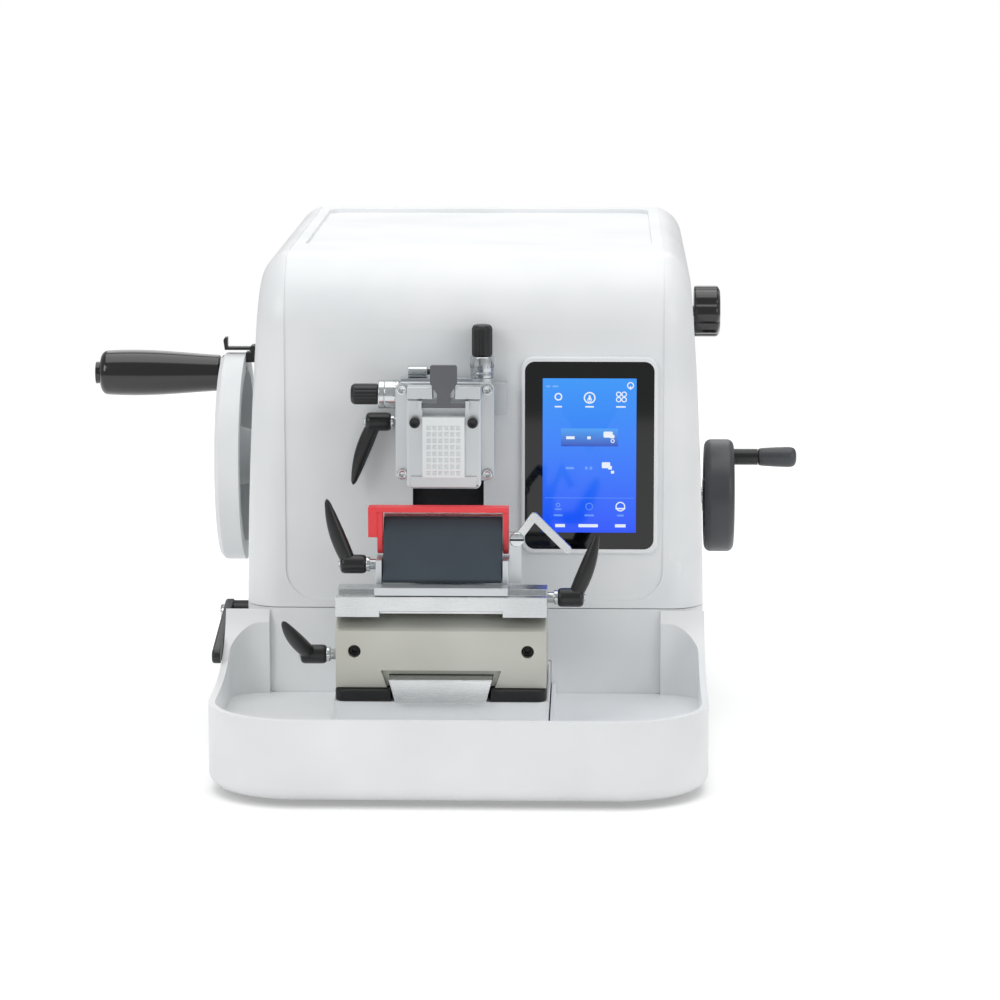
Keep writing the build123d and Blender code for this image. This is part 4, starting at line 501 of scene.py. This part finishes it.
class MICROTOME_OT_screen(bpy.types.Operator):
    """Builds the touch screen: black glass, the lit picture and its plain symbols"""
    bl_idname = "microtome.screen"
    bl_label = "Touch screen"

    def execute(self, context):
        coat("moulded", "screen_bezel")
        coat("glass", "screen_glass", "display_module")
        front = span("screen_glass")[0][1]
        x, _, z = middle("display_module")
        picture = outline_box(PICTURE_WIDTH, PICTURE_HEIGHT, 0.4)
        panel = slab_of(picture, -0.08, 0.0, (x, front, z), "y", 0.02)
        skin("lit_picture", [panel], "machine", "picture")

        def at(px, py):
            """A place on the picture, from its column and row."""
            return (x + (px - COLUMNS / 2) * PICTURE_WIDTH / COLUMNS, front - 0.08,
                    z - (py - ROWS / 2) * PICTURE_HEIGHT / ROWS)

        def tab(px, py, width, height, radius=0.2, lift=0.0):
            """A raised plain patch of the picture."""
            return slab_of(outline_box(width, height, radius, 4), -0.1 - lift, 0.0, at(px, py), "y", 0.02)

        def ring(px, py, radius, thickness):
            """A circle line on the picture."""
            band = [(0, radius - thickness), (-0.12, radius - thickness), (-0.12, radius), (0, radius),
                    (0, radius - thickness)]
            return lathe(band, at(px, py), "y", 28)

        skin("highlight_bar", [tab(46.5, 59.5, 39.5, 12.5, 0.4)], "machine", "bar")
        bright = [ring(15.5, 18.5, 2.7, 0.9), ring(46.5, 19.5, 4.1, 0.9), tab(46.5, 19.5, 1.3, 3.4),
                  ring(46.5, 21.5, 1.6, 0.5)]
        bright += [ring(78 + dx, 18.5 + dy, 1.9, 0.7) for dx in (-2.7, 2.7) for dy in (-2.7, 2.7)]
        bright += [ring(87, 7, 2.4, 0.7), tab(87, 9.5, 1.0, 2.2), tab(65, 56.5, 6.4, 4.2, 0.8, 0.1),
                   tab(69.0, 58.5, 3.2, 2.4, 0.6, 0.1), ring(69.5, 63.0, 1.4, 0.6),
                   tab(63, 87.5, 5.8, 4.2, 0.7), tab(67.0, 90, 2.6, 2.6, 0.5), tab(69.5, 94.5, 2.2, 2.0, 0.4),
                   ring(77.5, 129.5, 3.4, 0.8), tab(77.5, 131.5, 6.8, 1.0)]
        bright += [tab(px, 28.5, width, 1.0) for px, width in ((15.5, 5.0), (46.5, 6.0), (77.5, 6.6))]
        bright += [tab(px, 59.8, width, 2.0, 0.3, 0.1) for px, width in ((27.5, 5.8), (46.0, 2.4))]
        bright += [tab(px, 149, width, 2.2) for px, width in ((45.5, 13.5), (77.5, 7.4), (17.5, 6.8))]
        skin("bright_symbols", bright, "machine", "symbol")
        dim = [tab(27, 90.5, 5.6, 1.6), tab(43.5, 90.5, 1.8, 2.0), tab(48.0, 90.5, 1.8, 2.0),
               tab(46.5, 120.8, 62.0, 0.3), ring(46.5, 129.5, 2.6, 0.5), ring(15.5, 128, 1.5, 0.5),
               tab(15.5, 132.3, 4.6, 1.0), tab(46.5, 138.5, 6.4, 1.3), tab(15.5, 138.5, 6.2, 1.3),
               tab(77.5, 138.5, 4.6, 1.4), tab(5.5, 8, 3.0, 1.2), tab(12.5, 8, 4.0, 1.2)]
        skin("dim_symbols", dim, "machine", "dim_symbol")
        return {"FINISHED"}


class MICROTOME_OT_wheels(bpy.types.Operator):
    """Builds the handwheel, its long grip, the wheel lock, the brake lever and the right-hand controls"""
    bl_idname = "microtome.wheels"
    bl_label = "Wheels and side controls"

    def execute(self, context):
        sizes = context.scene.microtome_sizes
        machined("handwheel", "powder_coat", 0.8)
        machined("coarse_wheel", "grey_nylon", 0.8)
        coat("nylon", "lock_block")
        machined("wheel_lock_lever", "nylon", 0.3)
        # long grip: its radius swells from the wheel to a full, rounded outer end
        low, high = span("crank_grip")
        centre = (0, (low[1] + high[1]) / 2, (low[2] + high[2]) / 2)
        length = high[0] - low[0]
        full, slim = (high[2] - low[2]) / 2, 13.2
        t = np.linspace(0, 1, 48)
        swell = slim + (full - slim) * np.sin(t * 0.62 * pi) ** 1.3 * (1 - 0.10 * t ** 6)
        t_end = np.linspace(0, pi / 2, 9)[1:]
        run = np.stack([high[0] - 1.0 - t * (length - 6.5), swell], 1)
        end = np.stack([run[-1, 0] - 5.2 * np.sin(t_end), swell[-1] - 6.0 * (1 - np.cos(t_end))], 1)
        start = [(high[0] - 14, 5.4), (high[0], 5.4), (high[0], 11.8)]
        tail = [(low[0], 9.6), (low[0] + 3.0, 9.4), (low[0] + 3.0, 5.4)]
        profile = np.concatenate([start, run, end, tail])
        skin("crank_grip_turned", [lathe(profile, centre, "x", 96)], "main_grip", "phenolic",
             ("crank_grip",))
        coat("phenolic", "crank_grip_bolt")
        ring = rounded_profile([(high[0] + 1.5, 6), (high[0] + 1.5, 13), (high[0] + 6.5, 13.6),
                                (high[0] + 6.5, 6)], 0.7, 3)
        skin("crank_grip_collar", [lathe(np.concatenate([ring, ring[:1]]), centre, "x", 64)],
             "main_wheel", "nylon")
        # brake lever: a flat bar that tapers from its boss to a rounded tip
        low = span("brake_lever")[0]
        machined("brake_lever", "nylon", 0.6)
        hub = (low[0] - 0.2, *BRAKE_AXIS)
        cap = rounded_profile([(0, 0), (0, 5.6), (-3.2, 4.6), (-3.2, 0)], 0.8, 4)
        skin("brake_hub_cap", [lathe(cap, hub, "x", 40)], "brake", "turned")
        # side knob: a circle drawn in by a cosine to give the finger lobes
        low, high = span("side_knob")
        centre = (0, (low[1] + high[1]) / 2, (low[2] + high[2]) / 2)
        outer = (high[2] - low[2]) / 2
        lobes = sizes.side_lobes
        wall_x = high[0] - 19.0

        def lobed(angle):
            return 1 - 0.075 * (1 - np.abs(np.cos(lobes * angle / 2)) ** 0.7)

        profile = rounded_profile([(wall_x, 0), (wall_x, outer - 1), (wall_x + 1, outer),
                                   (high[0] - 2, outer), (high[0], outer - 3.5), (high[0], outer - 7),
                                   (high[0] - 1.2, outer - 8.5), (high[0] - 1.2, 0)], 1.4, 4)
        spindle = [(low[0], 0), (low[0], 4.0), (wall_x + 1, 4.0), (wall_x + 1, 0)]
        skin("side_knob_lobed", [lathe(profile, centre, "x", 128, lobed), lathe(spindle, centre, "x", 24)],
             "knob_right", "phenolic", ("side_knob",))
        coat("grey_nylon", "coarse_grip")
        low, high = span("coarse_grip")
        centre = (0, (low[1] + high[1]) / 2, (low[2] + high[2]) / 2)
        profile = rounded_profile([(low[0], 3.2), (low[0], 6.0), (low[0] + 3, 6.6), (low[0] + 14, 7.2),
                                   (high[0] - 5, 7.5), (high[0] - 1.5, 6.6), (high[0], 3.5),
                                   (high[0], 0)], 2.0, 5)
        skin("coarse_grip_turned", [lathe(profile, centre, "x", 64)], "coarse_handle", "grey_nylon",
             ("coarse_grip",))
        high = span("coarse_wheel")[1]
        hub = (high[0] - 3.6, WHEELS_Y, COARSE_AXIS_Z)
        cap = rounded_profile([(0, 0), (0, 8.5), (1.8, 7.6), (1.8, 0)], 0.8, 4)
        skin("coarse_hub_cap", [lathe(cap, hub, "x", 40)], "coarse_drive", "nylon")
        return {"FINISHED"}


def lever_shape(side, hub_x, y, z, turn):
    """A clamping lever in two grids: a turned hub with a step at each end, and an arm whose centre line
    leans outwards from the hub and whose oval section swells, then narrows to a round tip."""
    end = hub_x + side * 17.5
    hub = [(hub_x, 0), (hub_x, 5.2), (hub_x + side * 1.0, 6.1), (hub_x + side * 3.0, 6.4),
           (end - side * 2.6, 6.4), (end - side * 0.8, 5.6), (end, 3.4), (end, 0)]
    grids = [lathe(rounded_profile(hub, 0.8, 4), (0, y, z), "x", 56)]
    t = np.linspace(0, 1, 36)
    lean = 17 * (t + 0.10 * np.sin(pi * t))
    reach = -3.0 + 47.3 * t
    path = np.stack([hub_x + side * (10.5 + lean - 1.0), y - reach * sin(turn), z + reach * cos(turn)], 1)
    width = (4.3 + 1.3 * np.sin(pi * np.clip(t * 1.15, 0, 1))) * np.sqrt(np.clip(1 - t ** 9, 0.002, 1))
    width *= 1 - 0.34 * t ** 2.2
    depth = width * (1.0 - 0.16 * np.sin(pi * t))
    across = (0, cos(turn), sin(turn))
    grids.append(carried(path, np.stack([depth, width], 1), across, 32, 2.2))
    return grids


class MICROTOME_OT_levers(bpy.types.Operator):
    """Builds the four black clamping levers with their steel studs and centre screws"""
    bl_idname = "microtome.levers"
    bl_label = "Clamping levers"

    def execute(self, context):
        # node, side that its handle lies on, hub's start, y, z, turn, stud's length, body
        rows = (("head_lever", -1, -31.0, -125.0, FEED_AXIS_Z, pi, 14.0, "head_clamp_lever"),
                ("blade_lever", -1, -43.5, -210.0, 145.7, 0.0, 10.7, "blade_clamp_lever"),
                ("lateral_lever", 1, 85.4, -210.0, 123.5, 0.0, 14.0, "lateral_clamp_lever"),
                ("holder_lever", -1, -69.2, -230.0, 88.0, radians(50), 14.0, "holder_clamp_lever"))
        for node, side, hub_x, y, z, turn, reach, body in rows:
            skin(f"{node}_handle", lever_shape(side, hub_x, y, z, turn), body, "nylon", (node,))
            stud = [(hub_x - side * reach, 0), (hub_x - side * reach, 3.6), (hub_x - side * 2.6, 3.6),
                    (hub_x - side * 2.6, 4.9), (hub_x, 4.9), (hub_x, 0)]
            tip = [(hub_x + side * 17.2, 0), (hub_x + side * 17.2, 2.6), (hub_x + side * 18.6, 2.2),
                   (hub_x + side * 18.6, 0)]
            skin(f"{node}_stud", [lathe(rounded_profile(stud, 0.5, 3), (0, y, z), "x", 40),
                                  lathe(rounded_profile(tip, 0.4, 3), (0, y, z), "x", 24)], body, "turned")
        return {"FINISHED"}


class MICROTOME_OT_head(bpy.types.Operator):
    """Builds the specimen head: edged metal pieces, screws, scale collars, knobs, cassette and paddle"""
    bl_idname = "microtome.head"
    bl_label = "Specimen head"

    def execute(self, context):
        sizes = context.scene.microtome_sizes
        for node in ("head_base", "gimbal_cross", "tilt_plate", "clamp_body", "upper_jaw"):
            machined(node, "blasted", sizes.edge)
        machined("cassette", "acetal", 0.25)
        machined("cassette_lever", "paddle", 0.4)
        # screws: four bright ones at the plate's corners, two black ones beside the cassette
        plate = span("tilt_plate")
        clamp = span("clamp_body")
        spread = PLATE_SCREW_SPREAD
        places = [(HEAD_X + sx * spread, plate[0][1], FEED_AXIS_Z + sz * spread)
                  for sx in (-1, 1) for sz in (-1, 1)]
        corners = [cap_screw(place, "y", -1, 3.6, 2.6) for place in places]
        skin("corner_screws", corners, "specimen_clamp", "turned", ("head_screws",))
        face_y = clamp[0][1] + 2.0
        places = [(HEAD_X + sx * CLAMP_SCREW_SPREAD, face_y, FEED_AXIS_Z + CLAMP_SCREW_RISE)
                  for sx in (-1, 1)]
        black = [cap_screw(place, "y", -1, 3.6, 2.6) for place in places]
        skin("clamp_screws", black, "specimen_clamp", "nylon")
        # small steel cross screw left of the paddle, with a black tip
        barrel = rounded_profile([(-12, 0), (-12, 4.2), (1.4, 4.2), (1.4, 0)], 0.8, 4)
        tip = rounded_profile([(1.2, 0), (1.2, 2.2), (3.6, 1.8), (3.6, 0)], 0.4, 3)
        skin("stop_screw", [lathe(barrel, STOP_SCREW, "x", 40)], "feed_head", "turned")
        skin("stop_screw_tip", [lathe(tip, STOP_SCREW, "x", 24)], "feed_head", "nylon")
        # adjusters: a fluted knob is a circle notched by a power of a cosine
        flutes = sizes.grip_flutes

        def fluted(angle):
            return 1 - 0.055 * np.abs(np.cos(flutes * angle / 2)) ** 6

        yaw_low, yaw_high = span("yaw_knob")
        pitch_low, pitch_high = span("pitch_knob")
        yaw_centre = (0, (yaw_low[1] + yaw_high[1]) / 2, (yaw_low[2] + yaw_high[2]) / 2)
        pitch_centre = ((pitch_low[0] + pitch_high[0]) / 2, (pitch_low[1] + pitch_high[1]) / 2, 0)
        for name, body, node, centre, axis, face, end, inner in (
                ("yaw_knob_fluted", "yaw_adjuster", "yaw_knob", yaw_centre, "x",
                 yaw_low[0] + 18.8, yaw_low[0], yaw_high[0]),
                ("pitch_knob_fluted", "pitch_adjuster", "pitch_knob", pitch_centre, "z",
                 pitch_high[2] - 21.5, pitch_high[2], pitch_low[2])):
            out = 1 if end > face else -1
            profile = rounded_profile([(face, 0), (face, 6.6), (face + out * 0.8, 7.2),
                                       (end - out * 2.4, 7.2), (end - out * 0.4, 5.8), (end, 4.2),
                                       (end, 0)], 0.9, 4)
            pin = [(inner, 0), (inner, 2.5), (face + out, 2.5), (face + out, 0)]
            skin(name, [lathe(profile, centre, axis, 120, fluted), lathe(pin, centre, axis, 20)], body,
                 "nylon", (node,))
        # scale collars: turned rings with a fine groove, and black marks standing a hair proud
        for name, node, body, axis, knob_end in (("yaw_collar_ring", "yaw_collar", "gimbal", "x", 0),
                                                 ("pitch_collar_ring", "pitch_collar", "feed_head", "z", 1)):
            low, high = span(node)
            index = "xyz".index(axis)
            start, end = low[index], high[index]
            radius = (high[1] - low[1]) / 2
            centre = (low + high) / 2
            centre[index] = 0
            profile = rounded_profile([(start, 2.6), (start, radius - 0.5), (start + 0.6, radius),
                                       (start + 4.0, radius), (start + 4.3, radius - 0.35),
                                       (start + 4.7, radius), (end - 0.6, radius), (end, radius - 0.5),
                                       (end, 2.6), (start, 2.6)], 0.15, 3)
            skin(name, [lathe(profile, centre, axis, 72)], body, "turned", (node,))
            marks = []
            for step in range(-5, 6):
                angle = step * radians(15)
                long = 2.6 if step % 5 == 0 else 1.5
                spot = np.array(centre, float)
                spot[index] = (end - 1.6 - long / 2) if not knob_end else (start + 7.2 + long / 2)
                other = [k for k in range(3) if k != index and k != 1][0]
                spot[1] -= cos(angle) * (radius + 0.02)
                spot[other] += sin(angle) * (radius + 0.02)
                path = np.array([spot - np.eye(3)[index] * long / 2, spot + np.eye(3)[index] * long / 2])
                marks.append(carried(path, np.full((2, 2), 0.16), (0.01, 1.0, 0.02), 6))
            skin(name + "_marks", marks, body, "nylon")
        return {"FINISHED"}


class MICROTOME_OT_holder(bpy.types.Operator):
    """Builds the blade holder: edged metal pieces, the red guard, its screws and the bent arm"""
    bl_idname = "microtome.holder"
    bl_label = "Blade holder"

    def execute(self, context):
        edge = context.scene.microtome_sizes.edge
        machined("holder_plate", "black_steel", 1.2)
        machined("holder_rail", "ground", 0.6)
        machined("holder_base", "warm_anodised", 0.8)
        machined("cross_rail", "ground", 0.5)
        machined("lateral_carriage", "blasted", edge)
        machined("arm_bracket", "blasted", 0.8)
        machined("blade_carrier", "blasted", 0.4)
        coat("ground", "blade")
        machined("pressure_plate", "slate", 0.8)
        machined("finger_guard", "guard", 0.9)
        machined("side_arm", "ground", 0.8)
        # holes in the base's front carry black screws sunk below the face
        front = span("holder_base")[0][1]
        places = [(HEAD_X + sx * BASE_SCREW_SPREAD, front + 9.0, BASE_SCREW_Z) for sx in (-1, 1)]
        sunk = [cap_screw(place, "y", -1, 4.0, 3.4) for place in places]
        skin("sunk_screws", sunk, "holder", "black_steel")
        # slotted screw on the bracket: a rounded head with a bar of shadow across it
        y = span("arm_bracket")[0][1]
        spot = (BRACKET_SCREW[0], y + 1.6, BRACKET_SCREW[1])
        skin("bracket_screw", [slotted_screw(spot, "y", -1, 5.0, 3.2)], "arm", "turned")
        bar = slab_of(outline_box(9.4, 1.3, 0.2, 4), -3.36, -2.6, spot, "y", 0.05)
        skin("bracket_screw_slot_shadow", [bar], "arm", "dark")
        return {"FINISHED"}


class MICROTOME_OT_rear(bpy.types.Operator):
    """Finishes the power inlet and its rocker switch"""
    bl_idname = "microtome.rear"
    bl_label = "Rear and inlet"

    def execute(self, context):
        machined("power_inlet", "nylon", 0.4)
        machined("power_rocker", "phenolic", 0.4)
        return {"FINISHED"}


class MICROTOME_OT_stage(bpy.types.Operator):
    """Sets the pale floor, the backdrop light, the soft lamps and the camera"""
    bl_idname = "microtome.stage"
    bl_label = "Stage and camera"

    def execute(self, context):
        scene = context.scene
        sizes = scene.microtome_sizes
        scene.view_settings.view_transform = "Standard"
        size, height = 1.7, -0.0005
        mesh = bpy.data.meshes.new("floor")
        mesh.from_pydata([(-size, -size, height), (size, -size, height), (size, size, height),
                          (-size, size, height)], [], [(0, 1, 2, 3)])
        floor = bpy.data.objects.new("floor", mesh)
        scene.collection.objects.link(floor)
        material = bpy.data.materials.new("Paper_floor")
        material.use_nodes = True
        tree = material.node_tree
        tree.nodes.clear()
        rays = add(tree, "ShaderNodeLightPath")
        paper = add(tree, "ShaderNodeBsdfDiffuse", Color=linear("#f2f2f2"))
        white = add(tree, "ShaderNodeEmission", Color=(1, 1, 1, 1), Strength=0.30)
        seen = add(tree, "ShaderNodeMath", {"operation": "MAXIMUM"}, i0=rays.outputs["Is Camera Ray"],
                   i1=rays.outputs["Is Glossy Ray"])
        both = add(tree, "ShaderNodeAddShader", i0=paper.outputs[0], i1=white.outputs[0])
        mixed = add(tree, "ShaderNodeMixShader", Fac=seen.outputs[0], i1=paper.outputs[0],
                    i2=both.outputs[0])
        output = add(tree, "ShaderNodeOutputMaterial")
        tree.links.new(mixed.outputs[0], output.inputs["Surface"])
        mesh.materials.append(material)
        # world: plain light on the object, white where the camera looks at it or where glass lets it through
        world = bpy.data.worlds.new("studio")
        world.use_nodes = True
        scene.world = world
        tree = world.node_tree
        tree.nodes.clear()
        rays = add(tree, "ShaderNodeLightPath")
        seen = add(tree, "ShaderNodeMath", {"operation": "MAXIMUM"}, i0=rays.outputs["Is Camera Ray"],
                   i1=rays.outputs["Is Transmission Ray"])
        plain = add(tree, "ShaderNodeBackground", Color=(1, 1, 1, 1), Strength=0.46)
        bright = add(tree, "ShaderNodeBackground", Color=(1, 1, 1, 1), Strength=1.0)
        mixed = add(tree, "ShaderNodeMixShader", Fac=seen.outputs[0], i1=plain.outputs[0],
                    i2=bright.outputs[0])
        output = add(tree, "ShaderNodeOutputWorld")
        tree.links.new(mixed.outputs[0], output.inputs["Surface"])
        lamps = (("overhead", (0.1, 0.1, 2.2), (0, 0, 0), 2.2, 24),
                 ("left_front", (-1.7, -1.9, 1.5), (radians(58), 0, radians(-42)), 1.2, 15),
                 ("right_front", (1.9, -1.6, 1.1), (radians(64), 0, radians(50)), 1.2, 9),
                 ("behind", (0.0, 2.2, 1.6), (radians(-56), 0, 0), 1.6, 10))
        for name, spot, turn, width, power in lamps:
            lamp = bpy.data.lights.new(name, "AREA")
            lamp.shape, lamp.size, lamp.energy = "SQUARE", width, power
            holder = bpy.data.objects.new(name, lamp)
            holder.location, holder.rotation_euler = spot, turn
            scene.collection.objects.link(holder)
        view = bpy.data.cameras.new("photograph_view")
        view.lens, view.sensor_width = sizes.lens, 36.0
        view.clip_end = 60
        camera = bpy.data.objects.new("photograph_view", view)
        camera.location = (0.1125, -2.7858, 0.6209)
        camera.rotation_euler = Euler((pi / 2 - sizes.camera_drop, 0, atan(100 / 3900)))
        scene.collection.objects.link(camera)
        scene.camera = camera
        return {"FINISHED"}


ORDER = ("housing", "screen", "wheels", "levers", "head", "holder", "rear", "stage")


class MICROTOME_PT_panel(bpy.types.Panel):
    """Lists the steps that dress the microtome"""
    bl_label = "Microtome"
    bl_idname = "MICROTOME_PT_panel"
    bl_space_type = "VIEW_3D"
    bl_region_type = "UI"
    bl_category = "Microtome"

    def draw(self, context):
        layout = self.layout
        for group in (context.scene.microtome_look, context.scene.microtome_sizes):
            for key in group.bl_rna.properties.keys():
                if key not in ("rna_type", "name"):
                    layout.prop(group, key)
        for step in ORDER:
            layout.operator(f"microtome.{step}")


CLASSES = (MicrotomeLook, MicrotomeSizes, MICROTOME_OT_housing, MICROTOME_OT_screen, MICROTOME_OT_wheels,
           MICROTOME_OT_levers, MICROTOME_OT_head, MICROTOME_OT_holder, MICROTOME_OT_rear,
           MICROTOME_OT_stage, MICROTOME_PT_panel)


def register():
    for cls in CLASSES:
        bpy.utils.register_class(cls)
    bpy.types.Scene.microtome_look = bpy.props.PointerProperty(type=MicrotomeLook)
    bpy.types.Scene.microtome_sizes = bpy.props.PointerProperty(type=MicrotomeSizes)


def unregister():
    del bpy.types.Scene.microtome_sizes
    del bpy.types.Scene.microtome_look
    for cls in reversed(CLASSES):
        bpy.utils.unregister_class(cls)


def main():
    register()
    for step in ORDER:
        getattr(bpy.ops.microtome, step)()


if __name__ == "__main__":
    main()
